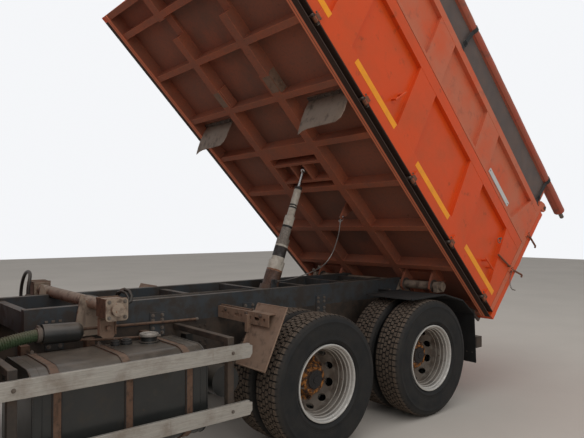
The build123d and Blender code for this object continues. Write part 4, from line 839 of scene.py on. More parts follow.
def curved(name: str, points: list[Point], kind: str, detail: int = 12) -> bpy.types.Object:
    """A curve of one spline.

    Args:
        name: The curve's name.
        points: Its points.
        kind: The spline's type.
        detail: Steps of each run.

    Returns:
        The curve in the scene.
    """
    data = bpy.data.curves.new(name, "CURVE")
    data.dimensions = "3D"
    data.resolution_u = detail
    spline = data.splines.new(kind)
    spline.points.add(len(points) - 1)
    for knot, point in zip(spline.points, points):
        knot.co = (*point, 1.0)
    spline.order_u = 3
    spline.use_endpoint_u = True
    return linked(name + "_line", data)


def placed(made: bpy.types.Object, body: str, slot: str, replaces: tuple[str, ...] = ()) -> bpy.types.Object:
    """Fix a finished piece to its body and report it.

    Args:
        made: The piece, in place.
        body: The body that it moves with.
        slot: The record's material slot; not used.
        replaces: Nodes that it stands for.

    Returns:
        The same piece.
    """
    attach(made, body)
    if replaces:
        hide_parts(*replaces)
    LOG.info("built %s on %s", made.name, body)
    return made


def carried(path: list[Vector], loop: bool = False) -> list[tuple[Vector, Vector]]:
    """Two directions across a path at each of its points, carried along it without a twist.

    Args:
        path: The points.
        loop: Whether the path closes on itself.

    Returns:
        The two directions at each point.
    """
    count = len(path)
    normal = None
    found = []
    for i, point in enumerate(path):
        before = path[i - 1] if i or loop else point
        after = path[(i + 1) % count] if i < count - 1 or loop else point
        ahead = (after - before).normalized()
        if normal is None:
            normal = ahead.orthogonal().normalized()
        normal = (normal - ahead * normal.dot(ahead)).normalized()
        found.append((normal, ahead.cross(normal)))
    return found


def rounded(low: tuple[float, float], high: tuple[float, float], radius: float, steps: int = 5) -> Outline:
    """A rectangle's outline with round corners.

    Args:
        low: Its lowest corner.
        high: Its highest corner.
        radius: The corners' radius.
        steps: Steps of each corner.

    Returns:
        The outline's points.
    """
    corners = (
        (high[0] - radius, high[1] - radius), (low[0] + radius, high[1] - radius),
        (low[0] + radius, low[1] + radius), (high[0] - radius, low[1] + radius),
    )
    outline = []
    for quarter, (u, v) in enumerate(corners):
        for k in range(steps + 1):
            turn = math.pi / 2 * (quarter + k / steps)
            outline.append((u + radius * math.cos(turn), v + radius * math.sin(turn)))
    return outline


class Draft:
    """A mesh under construction."""

    def __init__(self) -> None:
        """Start empty."""
        self.mesh = bmesh.new()

    def faces(self, points: list[Point], faces: list[tuple[int, ...]]) -> None:
        """Add points and the faces between them."""
        made = [self.mesh.verts.new(point) for point in points]
        for face in faces:
            self.mesh.faces.new([made[i] for i in face])

    def prism(self, outline: Outline, low: float, high: float, axis: str = "y", taper: float = 1.0) -> None:
        """Draw an outline along an axis.

        Args:
            outline: Points across the axis, in the order of the two other axes.
            low: Where it starts.
            high: Where it ends.
            axis: The axis's letter.
            taper: The end's size as a share of the start's.
        """
        order = {"x": (2, 0, 1), "y": (0, 2, 1), "z": (0, 1, 2)}[axis]
        ring = len(outline)
        points = []
        for place, share in ((low, 1.0), (high, taper)):
            for u, v in outline:
                parts = (u * share, v * share, place)
                points.append(tuple(parts[i] for i in order))
        faces = [tuple(range(ring)), tuple(range(2 * ring - 1, ring - 1, -1))]
        faces += [(i, (i + 1) % ring, (i + 1) % ring + ring, i + ring) for i in range(ring)]
        self.faces(points, faces)

    def block(self, low: Point, high: Point) -> None:
        """A block between two corners."""
        (x0, y0, z0), (x1, y1, z1) = low, high
        self.prism([(x0, z0), (x1, z0), (x1, z1), (x0, z1)], y0, y1)

    def rod(self, path: list[Vector | Point], radius: float | list[float], sides: int = 12,
            loop: bool = False) -> None:
        """Sweep a circle along a path.

        Args:
            path: The points of the middle line.
            radius: One radius, or one for each point.
            sides: The circle's corners.
            loop: Whether the path closes on itself.
        """
        path = [Vector(point) for point in path]
        count = len(path)
        radii = radius if isinstance(radius, list) else [radius] * count
        turns = [2 * math.pi * k / sides for k in range(sides)]
        rings = [
            [self.mesh.verts.new(point + (normal * math.cos(t) + across * math.sin(t)) * reach)
             for t in turns]
            for point, reach, (normal, across) in zip(path, radii, carried(path, loop))
        ]
        for i in range(count if loop else count - 1):
            first, second = rings[i], rings[(i + 1) % count]
            shift = 0
            if loop and i == count - 1:
                shift = min(range(sides), key=lambda k: (second[k].co - first[0].co).length)
            for k in range(sides):
                a, b = (k + shift) % sides, (k + 1 + shift) % sides
                self.mesh.faces.new((first[k], first[(k + 1) % sides], second[b], second[a]))
        if not loop:
            self.mesh.faces.new(rings[0])
            self.mesh.faces.new(rings[-1])

    def lathe(self, profile: Outline, centre: Vector, steps: int = 48, loop: bool = True) -> None:
        """Turn a profile about the cross axis through a centre.

        Args:
            profile: Points of radius and distance along the axis.
            centre: A point on the axis.
            steps: Steps of the turn.
            loop: Whether the profile closes on itself, or else ends on the axis.
        """
        rings = []
        for r, w in profile:
            if r < 1e-6:
                rings.append([self.mesh.verts.new(centre + Vector((0, w, 0)))])
                continue
            turns = [2 * math.pi * k / steps for k in range(steps)]
            rings.append([
                self.mesh.verts.new(centre + Vector((r * math.cos(t), w, r * math.sin(t)))) for t in turns
            ])
        count = len(rings)
        for i in range(count if loop else count - 1):
            first, second = rings[i], rings[(i + 1) % count]
            for k in range(steps):
                n = (k + 1) % steps
                corners = [first[k % len(first)], first[n % len(first)], second[n % len(second)],
                           second[k % len(second)]]
                self.mesh.faces.new(list(dict.fromkeys(corners)))

    def object(self, name: str, material: bpy.types.Material, place: Matrix | None = None,
               smooth: float = 35.0, bevel: float = 0.0) -> bpy.types.Object:
        """Close the draft into an object.

        Args:
            name: The piece's name.
            material: Its finish.
            place: Where its own axes lie in the frame.
            smooth: Degrees below which an edge is shaded smooth.
            bevel: Width of rounded edges, or none.

        Returns:
            The object, its place in its mesh.
        """
        bmesh.ops.recalc_face_normals(self.mesh, faces=self.mesh.faces)
        mesh = bpy.data.meshes.new(name)
        self.mesh.to_mesh(mesh)
        self.mesh.free()
        if place is not None:
            mesh.transform(place)
        mesh.shade_smooth()
        mesh.set_sharp_from_angle(angle=math.radians(smooth))
        mesh.materials.append(material)
        made = linked(name, mesh)
        if bevel:
            rounded = made.modifiers.new("rounded", "BEVEL")
            rounded.width = bevel
            rounded.segments = 2
            rounded.limit_method = "ANGLE"
            rounded.angle_limit = math.radians(smooth)
        return made

    def fix(self, name: str, finish: str, owner: Owner, place: Matrix | None = None, bevel: float = 0.0,
            replaces: tuple[str, ...] = ()) -> bpy.types.Object:
        """Close the draft into a piece and fix it to its body.

        Args:
            name: The piece's name.
            finish: Its finish.
            owner: Its body and material slot.
            place: Where its own axes lie in the frame.
            bevel: Width of rounded edges, or none.
            replaces: Nodes that it stands for.

        Returns:
            The piece.
        """
        return placed(self.object(name, SHOP[finish], place, bevel=bevel), *owner, replaces)


def hardened(piece: bpy.types.Object) -> bpy.types.Object:
    """Turn a piece's modifiers into its plain mesh."""
    mesh = evaluated(piece)
    if not mesh.materials:
        mesh.materials.append(piece.data.materials[0])
    piece.modifiers.clear()
    piece.data = mesh
    return piece


def drilled(piece: bpy.types.Object, bits: bpy.types.Object) -> bpy.types.Object:
    """Cut holes in a piece.

    Args:
        piece: The closed piece.
        bits: What is taken out of it. It is removed.

    Returns:
        The piece with its holes.
    """
    cut = piece.modifiers.new("holes", "BOOLEAN")
    cut.operation = "DIFFERENCE"
    cut.solver = "EXACT"
    cut.object = bits
    hardened(piece)
    bpy.data.objects.remove(bits)
    piece.data.set_sharp_from_angle(angle=math.radians(35))
    return piece


class Rule(Enum):
    """The ways in which small things repeat."""

    RING = "ring"
    LINE = "line"
    PATH = "path"
    SPOTS = "spots"


class Repeats:
    """Geometry trees that repeat an item, each built once."""

    shared = (("Count", "Int"), ("Material", "Material"))
    own = {
        Rule.RING: (("Rows", "Int"), ("Pitch", "Float"), ("Radius", "Float"), ("Crown", "Float"),
                    ("Stagger", "Float"), ("Phase", "Float"), ("Centre", "Vector")),
        Rule.LINE: (("Start", "Vector"), ("Step", "Vector")),
        Rule.PATH: (("Item", "Object"), ("Twist", "Float")),
        Rule.SPOTS: (("Item", "Object"),),
    }

    def __init__(self) -> None:
        """Build every tree."""
        self.trees = {rule: self.make(rule) for rule in Rule}

    def make(self, rule: Rule) -> bpy.types.NodeTree:
        """One rule's tree, from its inputs to a plain mesh with its material.

        Args:
            rule: The rule.

        Returns:
            The node tree.
        """
        group = bpy.data.node_groups.new(f"repeat_{rule.value}", "GeometryNodeTree")
        group.interface.new_socket(name="Geometry", in_out="INPUT", socket_type="NodeSocketGeometry")
        for name, kind in (*self.shared, *self.own[rule]):
            group.interface.new_socket(name=name, in_out="INPUT", socket_type=f"NodeSocket{kind}")
        group.interface.new_socket(name="Geometry", in_out="OUTPUT", socket_type="NodeSocketGeometry")
        tree = Tree(group)
        given = tree.node("NodeGroupInput").outputs
        copies = getattr(self, rule.value)(tree, given)
        real = tree.node("GeometryNodeRealizeInstances", Geometry=copies)
        painted = tree.node("GeometryNodeSetMaterial", Geometry=real, Material=given["Material"])
        tree.node("NodeGroupOutput", Geometry=painted)
        return group

    def ring(self, tree: Tree, given: object) -> bpy.types.Node:
        """Rows of items round a cross axis, every second row staggered, the outer rows lower by the crown."""
        total = tree.times(given["Count"], given["Rows"])
        points = tree.node("GeometryNodePoints", Count=total)
        index = tree.node("GeometryNodeInputIndex")
        row = tree.sum("FLOOR", tree.sum("DIVIDE", tree.sum("ADD", index, 0.5), given["Count"]))
        odd = tree.sum("MODULO", row, 2.0)
        step = tree.sum("ADD", index, tree.sum("MULTIPLY_ADD", odd, given["Stagger"], given["Phase"]))
        angle = tree.times(step, tree.sum("DIVIDE", 2 * math.pi, given["Count"]))
        half = tree.times(tree.sum("SUBTRACT", given["Rows"], 1.0), 0.5)
        off = tree.sum("SUBTRACT", row, half)
        share = tree.sum("DIVIDE", off, tree.most(half, 0.5))
        drop = tree.times(tree.times(share, share), given["Crown"])
        radius = tree.sum("SUBTRACT", given["Radius"], drop)
        place = tree.node(
            "ShaderNodeCombineXYZ",
            X=tree.times(radius, tree.sum("COSINE", angle)),
            Y=tree.times(off, given["Pitch"]),
            Z=tree.times(radius, tree.sum("SINE", angle)),
        )
        spot = tree.node("ShaderNodeVectorMath", {"operation": "ADD"}, _0=place, _1=given["Centre"])
        moved = tree.node("GeometryNodeSetPosition", Geometry=points, Position=spot)
        turn = tree.node("ShaderNodeCombineXYZ", Y=tree.times(angle, -1.0))
        return tree.node("GeometryNodeInstanceOnPoints", Points=moved, Instance=given["Geometry"],
                         Rotation=turn)

    def line(self, tree: Tree, given: object) -> bpy.types.Node:
        """Items at even steps from a start."""
        points = tree.node("GeometryNodePoints", Count=given["Count"])
        index = tree.node("GeometryNodeInputIndex")
        along = tree.node("ShaderNodeVectorMath", {"operation": "SCALE"}, Vector=given["Step"], Scale=index)
        spot = tree.node("ShaderNodeVectorMath", {"operation": "ADD"}, _0=along, _1=given["Start"])
        moved = tree.node("GeometryNodeSetPosition", Geometry=points, Position=spot)
        return tree.node("GeometryNodeInstanceOnPoints", Points=moved, Instance=given["Geometry"])

    def path(self, tree: Tree, given: object) -> bpy.types.Node:
        """Items along a curve, each turned about it by the twist."""
        options = {"mode": "COUNT"}
        points = tree.node("GeometryNodeCurveToPoints", options, Curve=given["Geometry"],
                           Count=given["Count"])
        index = tree.node("GeometryNodeInputIndex")
        angle = tree.times(index, given["Twist"])
        spin = tree.node("FunctionNodeAxisAngleToRotation", Axis=(0, 0, 1), Angle=angle)
        turned = tree.node(
            "FunctionNodeRotateRotation", {"rotation_space": "LOCAL"}, Rotation=points.outputs["Rotation"],
            Rotate_By=spin,
        )
        item = tree.node("GeometryNodeObjectInfo", Object=given["Item"])
        return tree.node(
            "GeometryNodeInstanceOnPoints", Points=points, Instance=item.outputs["Geometry"], Rotation=turned
        )

    def spots(self, tree: Tree, given: object) -> bpy.types.Node:
        """One item on each point."""
        item = tree.node("GeometryNodeObjectInfo", Object=given["Item"])
        return tree.node("GeometryNodeInstanceOnPoints", Points=given["Geometry"],
                         Instance=item.outputs["Geometry"])

    def grow(self, rule: Rule, name: str, source: bpy.types.Object, finish: bpy.types.Material,
             place: Matrix | None = None, **settings: object) -> bpy.types.Object:
        """Repeat an item and turn the result into a plain mesh.

        Args:
            rule: The rule to follow.
            name: The new piece's name.
            source: The item, or the curve that the items follow. It is removed.
            finish: The material.
            place: Where the piece's own axes lie in the frame.
            settings: The tree's inputs by name.

        Returns:
            The new piece.
        """
        group = self.trees[rule]
        modifier = source.modifiers.new(rule.value, "NODES")
        modifier.node_group = group
        values = {"Material": finish, **settings}
        for socket in group.interface.items_tree:
            if socket.in_out == "INPUT" and socket.name in values:
                modifier[socket.identifier] = values[socket.name]
        mesh = evaluated(source)
        bpy.data.objects.remove(source)
        if place is not None:
            mesh.transform(place)
        mesh.shade_smooth()
        mesh.set_sharp_from_angle(angle=math.radians(35))
        made = linked(name, mesh)
        return made


REPEATS = Repeats()


def scatter(name: str, spots: list[Point], item: bpy.types.Object, finish: bpy.types.Material,
            place: Matrix | None = None) -> bpy.types.Object:
    """Set an item on each of several spots.

    Args:
        name: The new piece's name.
        spots: The points.
        item: The item, standing at the origin. It is removed.
        finish: The material.
        place: Where the spots' axes lie in the frame.

    Returns:
        The new piece.
    """
    mesh = bpy.data.meshes.new(name)
    mesh.from_pydata([tuple(spot) for spot in spots], [], [])
    source = linked(name + "_spots", mesh)
    made = REPEATS.grow(Rule.SPOTS, name, source, finish, place, Item=item)
    bpy.data.objects.remove(item)
    return made


def hexagon(radius: float) -> Outline:
    """The corners of a hexagon."""
    turns = [math.radians(60 * k + 30) for k in range(6)]
    return [(radius * math.cos(t), radius * math.sin(t)) for t in turns]


def bolt(name: str, radius: float, height: float, axis: str, sense: float = 1.0) -> bpy.types.Object:
    """A hexagon head on a round washer with its stud's end, standing up from the origin.

    Args:
        name: The item's name.
        radius: The head's corner radius.
        height: The head's height.
        axis: The axis that it stands along.
        sense: Which way along that axis, 1 or -1.

    Returns:
        The item.
    """
    draft = Draft()
    round_outline = [
        (radius * 1.25 * math.cos(t), radius * 1.25 * math.sin(t))
        for t in (2 * math.pi * k / 12 for k in range(12))
    ]
    draft.prism(round_outline, 0, sense * height * 0.2, axis)
    draft.prism(hexagon(radius), sense * height * 0.2, sense * height, axis)
    stud = [(x * 0.4, y * 0.4) for x, y in round_outline]
    draft.prism(stud, sense * height, sense * height * 1.35, axis)
    return draft.object(name, SHOP["zinc"])


def bolted(name: str, spots: list[Point], size: tuple[float, float], axis: str, owner: Owner,
           sense: float = 1.0, finish: str = "zinc", place: Matrix | None = None) -> None:
    """Set bolts on several spots and fix them to a body.

    Args:
        name: The new piece's name.
        spots: The points.
        size: The heads' corner radius and height.
        axis: The axis that they stand along.
        owner: Their body and material slot.
        sense: Which way along the axis, 1 or -1.
        finish: Their finish.
        place: Where the spots' axes lie in the frame.
    """
    item = bolt("nut_item", *size, axis, sense)
    placed(scatter(name, spots, item, SHOP[finish], place), *owner)


@dataclass
class Tyres:
    """The tyres of one axle's end: turned carcasses and the blocks of their tread."""

    axle: str
    tyre: str
    side: Side
    radius: float = 0.527
    half: float = 0.137
    groove: float = 0.013
    blocks: int = 66
    rows: int = 4
    row_pitch: float = 0.0365
    shoulder_y: float = 0.093

    @property
    def node(self) -> str:
        """The node that the tyres stand for."""
        return f"{self.axle}_{self.tyre}_{self.side.word}"

    def centres(self) -> list[Vector]:
        """The middle of each tyre on this end."""
        low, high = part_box(self.node)
        x, z = (low.x + high.x) / 2, (low.z + high.z) / 2
        if high.y - low.y < 3 * self.half:
            return [Vector((x, (low.y + high.y) / 2, z))]
        return [Vector((x, low.y + self.half, z)), Vector((x, high.y - self.half, z))]

    def carcass(self) -> Outline:
        """The section: rim seat, ribbed sidewall, shoulder and the tread's base."""
        base = self.radius - self.groove
        wall = [
            (0.289, 0.094), (0.304, 0.104), (0.312, 0.117), (0.328, 0.1262), (0.331, 0.1292), (0.338, 0.1292),
            (0.341, 0.1272), (0.375, 0.1338), (0.412, 0.1366), (0.440, 0.1368), (0.462, 0.1352),
            (0.465, 0.1372), (0.473, 0.1366), (0.476, 0.1335), (0.492, 0.1295), (0.503, 0.1245),
            (0.510, 0.1175), (base, 0.108), (base + 0.001, 0.05),
        ]
        return [(r, -w) for r, w in wall] + [(r, w) for r, w in reversed(wall)]

    def block_item(self) -> bpy.types.Object:
        """One tread block, its top at the origin, leaning over a little towards its top."""
        long, wide = 0.0196, 0.0150
        outline = [
            (-wide * 0.8, -long), (-wide, 0.004), (-wide * 0.72, long), (wide * 0.8, long), (wide, -0.004),
            (wide * 0.72, -long),
        ]
        draft = Draft()
        draft.prism(outline, -self.groove - 0.002, 0.0, "x", 0.93)
        return draft.object("block_item", SHOP["sheet"])

    def shoulder_item(self, sense: float) -> bpy.types.Object:
        """One shoulder block, wrapping the tread's edge."""
        section = [(-0.018, -0.016), (0.0, -0.014), (-0.0015, 0.010), (-0.006, 0.0185), (-0.020, 0.0300),
                   (-0.026, 0.024)]
        points = [(u, v * sense) for u, v in section]
        draft = Draft()
        draft.prism(points, -0.0198, 0.0198, "z")
        return draft.object("shoulder_item", SHOP["sheet"])

    def build(self) -> None:
        """Turn the carcasses and lay the tread."""
        body = f"{self.axle}_wheel_{self.side.word}"
        finish = SHOP.own(Rubber(f"rubber_{self.axle}", tuple(middle(self.node))))
        draft = Draft()
        for centre in self.centres():
            draft.lathe(self.carcass(), centre, 96)
        made = draft.object(f"tyre_{self.axle}_{self.side.word}", finish, smooth=60)
        placed(made, body, "tyre_rubber", (self.node,))
        for i, centre in enumerate(self.centres()):
            name = f"tread_{self.axle}_{self.side.word}_{i + 1}"
            made = REPEATS.grow(
                Rule.RING, name, self.block_item(), finish, Count=self.blocks, Rows=self.rows,
                Pitch=self.row_pitch, Radius=self.radius, Crown=0.0015, Stagger=0.5, Centre=centre,
            )
            placed(made, body, "tyre_rubber")
            for sense in (1.0, -1.0):
                edge = centre + Vector((0, sense * self.shoulder_y, 0))
                word = "outer" if sense > 0 else "inner"
                made = REPEATS.grow(
                    Rule.RING, f"{name}_{word}", self.shoulder_item(sense), finish, Count=self.blocks, Rows=1,
                    Radius=self.radius - 0.002, Phase=0.25 * (1 + sense), Centre=edge,
                )
                placed(made, body, "tyre_rubber")


class TwinRims:
    """The stepped rims, pierced discs and hubs of the twin wheels, one pair at each end of two axles."""

    tyre_side = ((0.298, 0.118), (0.298, 0.104), (0.284, 0.099), (0.256, 0.050), (0.256, -0.050),
                 (0.284, -0.099), (0.298, -0.104), (0.298, -0.118))
    back = ((0.288, -0.118), (0.272, -0.090), (0.246, -0.052), (0.228, -0.122), (0.200, -0.160),
            (0.110, -0.160))
    face = ((0.110, -0.146), (0.190, -0.146), (0.195, -0.142), (0.2375, -0.062), (0.2395, -0.052),
            (0.2405, -0.014), (0.2475, -0.011), (0.2485, 0.028), (0.2570, 0.031), (0.2580, 0.060),
            (0.2680, 0.063), (0.2690, 0.086), (0.2790, 0.089), (0.2800, 0.106), (0.2835, 0.116),
            (0.288, 0.120), (0.2935, 0.1195))
    hub = ((0.0, 1.090), (0.026, 1.090), (0.030, 1.083), (0.070, 1.081), (0.073, 1.073), (0.078, 1.067),
           (0.108, 1.065), (0.113, 1.058), (0.119, 1.050), (0.126, 1.038), (0.131, 0.985), (0.1405, 0.968),
           (0.1405, 0.948), (0.170, 0.948), (0.172, 0.890), (0.205, 0.880), (0.205, 0.690), (0.070, 0.690),
           (0.070, 1.000), (0.0, 1.000))
    outer_y = 1.107
    inner_y = 0.787

    def __init__(self) -> None:
        """Turn one rim and pierce its disc."""
        draft = Draft()
        draft.lathe([*self.tyre_side, *self.back, *self.face], Vector((0, 0, 0)), 80)
        bits = Draft()
        for k in range(10):
            turn = math.radians(36 * (k + 0.5))
            out = Vector((math.cos(turn), 0, math.sin(turn)))
            bits.rod([out * 0.186 + Vector((0, -0.078, 0)), out * 0.252 + Vector((0, -0.113, 0))], 0.034, 24)
        rim = drilled(draft.object("rim_stock", SHOP["zinc"]), bits.object("rim_bits", SHOP["zinc"]))
        self.mesh = rim.data.copy()
        bpy.data.objects.remove(rim)

    def fit(self, axle: str, side: Side) -> None:
        """Set a pair of rims and their hub at one end of an axle.

        Args:
            axle: The axle's word.
            side: The end.
        """
        node = f"{axle}_rims_{side.word}"
        centre = middle(node)
        centre.y = 0
        finish = SHOP.own(Wheel(f"wheel_{axle}", tuple(centre)))
        draft = Draft()
        for y, facing in ((self.outer_y, 1), (self.inner_y, -1)):
            start = len(draft.mesh.verts)
            draft.mesh.from_mesh(self.mesh)
            draft.mesh.verts.ensure_lookup_table()
            for vertex in draft.mesh.verts[start:]:
                vertex.co.y = side.value * (y + facing * vertex.co.y)
                vertex.co += centre
        profile = [(r, side.value * w) for r, w in self.hub]
        draft.lathe(profile, centre, 56, False)
        made = draft.object(f"rims_{axle}_{side.word}", finish, smooth=30)
        placed(made, f"{axle}_wheel_{side.word}", "wheel_silver", (node,))


@dataclass
class Hub:
    """Nuts, hub cap bolts and valve of one wheel."""

    axle: str
    rim: str
    side: Side
    nut_circle: float = 0.167
    nuts: int = 10

    def build(self) -> None:
        """Fit the nuts, the cap's bolts and the valve."""
        node = f"{self.axle}_{self.rim}_{self.side.word}"
        body = f"{self.axle}_wheel_{self.side.word}"
        slot = "wheel_silver"
        low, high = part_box(node)
        sense = float(self.side.value)
        centre = (low + high) / 2
        face, end = self.faces()
        finish = SHOP.own(Wheel(f"wheel_{self.axle}", tuple(centre)))
        for word, circle, y, size, height in (("nuts", self.nut_circle, face, 0.0185, 0.024),
                                              ("cap_bolts", 0.094, end, 0.010, 0.010)):
            made = REPEATS.grow(
                Rule.RING, f"{word}_{self.axle}_{self.side.word}", bolt("nut_item", size, height, "y", sense),
                finish, Count=self.nuts, Rows=1, Radius=circle, Phase=0.25, Centre=(centre.x, y, centre.z),
            )
            placed(made, body, slot)
        draft = Draft()
        mouth = high.y if sense > 0 else low.y
        path = [Vector((centre.x + 0.25, mouth - sense * 0.075, centre.z)),
                Vector((centre.x + 0.243, mouth - sense * 0.045, centre.z)),
                Vector((centre.x + 0.232, mouth - sense * 0.020, centre.z))]
        draft.rod(path, [0.007, 0.005, 0.0045], 8)
        placed(draft.object(f"valve_{self.axle}_{self.side.word}", SHOP["zinc"]), body, slot)

    def faces(self) -> tuple[float, float]:
        """Where the nuts and the cap's bolts sit across the truck: the disc's face and the flange's."""
        disc, flange = (1.181, 1.191) if self.axle == "front" else (0.961, 1.0655)
        return self.side.value * disc, self.side.value * flange


@dataclass(frozen=True)
class Route:
    """The line of a free hose or rope, its points given as stations."""

    name: str
    diameter: float
    length: float
    points: tuple[Point, ...]

    def line(self, detail: int = 24) -> list[Vector]:
        """The points of the smooth line, read from a curve of one spline.

        Args:
            detail: Steps of each run.

        Returns:
            The points in the frame.
        """
        source = curved(self.name, [at(*point) for point in self.points], "NURBS", detail)
        mesh = evaluated(source)
        found = [vertex.co.copy() for vertex in mesh.vertices]
        bpy.data.objects.remove(source)
        return found

    def declare(self, made: bpy.types.Object, line: list[Vector], far_end: str, stiffness: str, lay: str,
                fittings: list[bpy.types.Object]) -> None:
        """Take what this hose or rope is, and keep none of it.

        Args:
            made: Its mesh; not used.
            line: The points that the mesh follows.
            far_end: What its far end is; not used.
            stiffness: How stiff it is; not used.
            lay: How it lies; not used.
            fittings: The pieces on it; not used.
        """
        tuple(line[0])


def standing(line: list[Vector], share: float) -> Matrix:
    """Axes at a share of a line's points, x along the line."""
    i = min(len(line) - 2, max(1, round(share * (len(line) - 1))))
    normal, across = carried(line)[i]
    ahead = (line[i + 1] - line[i - 1]).normalized()
    return Matrix.Translation(line[i]) @ Matrix((ahead, normal, ahead.cross(normal))).transposed().to_4x4()


def walked(line: list[Vector]) -> list[float]:
    """The distance along a line to each of its points."""
    found = [0.0]
    for before, after in zip(line, line[1:]):
        found.append(found[-1] + (after - before).length)
    return found


@dataclass
class StopRope:
    """The slack wire rope from the bed's lug to its block on the frame, with its clips and shackle."""

    route: Route = Route("stop_rope", 0.010, 1.145, (
        (0.158, 0.200, 1.812), (0.164, 0.200, 1.738), (0.188, 0.200, 1.640), (0.228, 0.200, 1.543),
        (0.284, 0.200, 1.443), (0.356, 0.198, 1.367), (0.445, 0.194, 1.316), (0.548, 0.186, 1.280),
        (0.662, 0.174, 1.250), (0.776, 0.162, 1.226), (0.880, 0.154, 1.212), (0.975, 0.154, 1.212),
    ))
    strands: int = 6
    strand_r: float = 0.0020
    lay_r: float = 0.0030
    lay_pitch: float = 0.075
    clip_shares: tuple[float, ...] = (0.55, 0.62)

    def build(self) -> None:
        """Lay the strands, fit the clips and the shackle."""
        line = self.route.line()
        distances = walked(line)
        draft = Draft()
        for k in range(self.strands):
            strand = []
            for point, distance, (u, v) in zip(line, distances, carried(line)):
                turn = 2 * math.pi * (k / self.strands + distance / self.lay_pitch)
                strand.append(point + (u * math.cos(turn) + v * math.sin(turn)) * self.lay_r)
            draft.rod(strand, self.strand_r, 5)
        rope = draft.object("stop_rope", SHOP["rope"], smooth=60)
        fittings = [self.clip(f"rope_clip_{i + 1}", standing(line, share))
                    for i, share in enumerate(self.clip_shares)]
        fittings += [self.shackle(line[0]), self.socket(line)]
        for piece in (rope, *fittings[:2]):
            tuple(line[0])
            tuple(line[-1])
            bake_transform(piece)
        placed(fittings[2], "bed", "rope_steel")
        placed(fittings[3], "chassis", "rope_steel")
        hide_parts("wire_rope")
        self.route.declare(rope, line, "fitting", "medium", "hanging", fittings)
        LOG.info("built the stop rope")

    def clip(self, name: str, place: Matrix) -> bpy.types.Object:
        """A saddle and bent bolt that grip the rope."""
        draft = Draft()
        draft.prism(rounded((-0.013, -0.016), (0.013, -0.004), 0.003), -0.015, 0.015)
        bow = [Vector((0, 0.0095, -0.020)), Vector((0, 0.0095, 0.004))]
        bow += [Vector((0, 0.0095 * math.cos(t), 0.004 + 0.0095 * math.sin(t)))
                for t in (math.pi * k / 8 for k in range(1, 8))]
        bow += [Vector((0, -0.0095, 0.004)), Vector((0, -0.0095, -0.020))]
        draft.rod(bow, 0.0032, 8)
        for y in (-0.0095, 0.0095):
            outline = [(u, v + y) for u, v in hexagon(0.0068)]
            draft.prism(outline, -0.0245, -0.0165, "z")
        return draft.object(name, SHOP["zinc"], place)

    def shackle(self, top: Vector) -> bpy.types.Object:
        """The bow and pin that hang the rope on the lug."""
        pin = BED_PLACE @ Vector((1.495, 0.200, -0.034))
        draft = Draft()
        bow = [pin + Vector((0, 0.017, 0)), pin + Vector((0, 0.019, -0.020))]
        foot = top + Vector((0, 0, -0.028))
        bow += [foot + Vector((0, 0.019 * math.cos(t), 0.014 - 0.014 * math.sin(t)))
                for t in (math.pi * k / 8 for k in range(0, 9))]
        bow += [pin + Vector((0, -0.019, -0.020)), pin + Vector((0, -0.017, 0))]
        draft.rod(bow, 0.0055, 8)
        draft.rod([pin + Vector((0, -0.030, 0)), pin + Vector((0, 0.026, 0))], 0.006, 10)
        draft.rod([pin + Vector((0, 0.024, 0)), pin + Vector((0, 0.034, 0))], 0.011, 6)
        return draft.object("rope_shackle", SHOP["rod"])

    def socket(self, line: list[Vector]) -> bpy.types.Object:
        """The pressed end that holds the rope in its block."""
        end, ahead = line[-1], (line[-1] - line[-3]).normalized()
        draft = Draft()
        draft.rod([end - ahead * 0.034, end - ahead * 0.030, end - ahead * 0.004, end],
                  [0.006, 0.009, 0.009, 0.011], 12)
        return draft.object("rope_socket", SHOP["zinc"])


@dataclass
class IntakeHose:
    """The ribbed green hose from the intake pipe to the engine, and its two clamps."""

    route: Route = Route("ribbed_hose", 0.074, 1.227, (
        (3.256, 0.600, 1.041), (3.400, 0.602, 1.026), (3.545, 0.614, 0.992), (3.690, 0.636, 0.966),
        (3.830, 0.652, 0.964), (3.962, 0.646, 0.986), (4.078, 0.612, 1.022), (4.160, 0.552, 1.050),
        (4.216, 0.480, 1.063), (4.240, 0.382, 1.060), (4.240, 0.290, 1.060),
    ))
    outer: float = 0.0405
    rib: float = 0.0150
    depth: float = 0.0060
    neck_r: float = 0.044

    def build(self) -> None:
        """Sweep the ribs and fit both clamps."""
        line = self.route.line(60)
        radii = [
            self.outer - self.depth * (0.5 - 0.5 * math.cos(2 * math.pi * way / self.rib))
            + 0.0016 * noise.noise(Vector((way * 90.0, 0.0, 0.0)))
            for way in walked(line)
        ]
        draft = Draft()
        draft.rod(line, radii, 28)
        hose = draft.object("ribbed_hose", SHOP["green"], smooth=80)
        clamps = [self.clamp("hose_clamp", at(3.232, 0.600, 1.041), at(3.262, 0.600, 1.041)),
                  self.clamp("hose_end_clamp", line[-9], line[-3])]
        for clamp in clamps:
            placed(clamp, "chassis", "hose_black")
        placed(hose, "chassis", "hose_green", ("intake_hose",))
        self.route.declare(hose, line, "object", "limp", "hanging", clamps)

    def clamp(self, name: str, start: Vector, end: Vector) -> bpy.types.Object:
        """A worm clamp: its band with a raised middle and the screw's housing on top."""
        ahead = (end - start).normalized()
        wide = (end - start).length
        shares = (0.0, 0.05, 0.3, 0.35, 0.65, 0.7, 0.95, 1.0)
        reach = (0.0, 0.003, 0.003, 0.0045, 0.0045, 0.003, 0.003, 0.0)
        draft = Draft()
        draft.rod([start + ahead * (wide * s) for s in shares], [self.neck_r + 0.0005 + r for r in reach], 32)
        across = ahead.cross(Vector((0, 0, 1))).normalized()
        screw = (start + end) / 2 + Vector((0, 0, self.neck_r + 0.008)) + across * 0.006
        draft.rod([screw - across * 0.022, screw + across * 0.016], 0.0075, 8)
        draft.rod([screw + across * 0.016, screw + across * 0.026], 0.0055, 6)
        return draft.object(name, SHOP["zinc"])


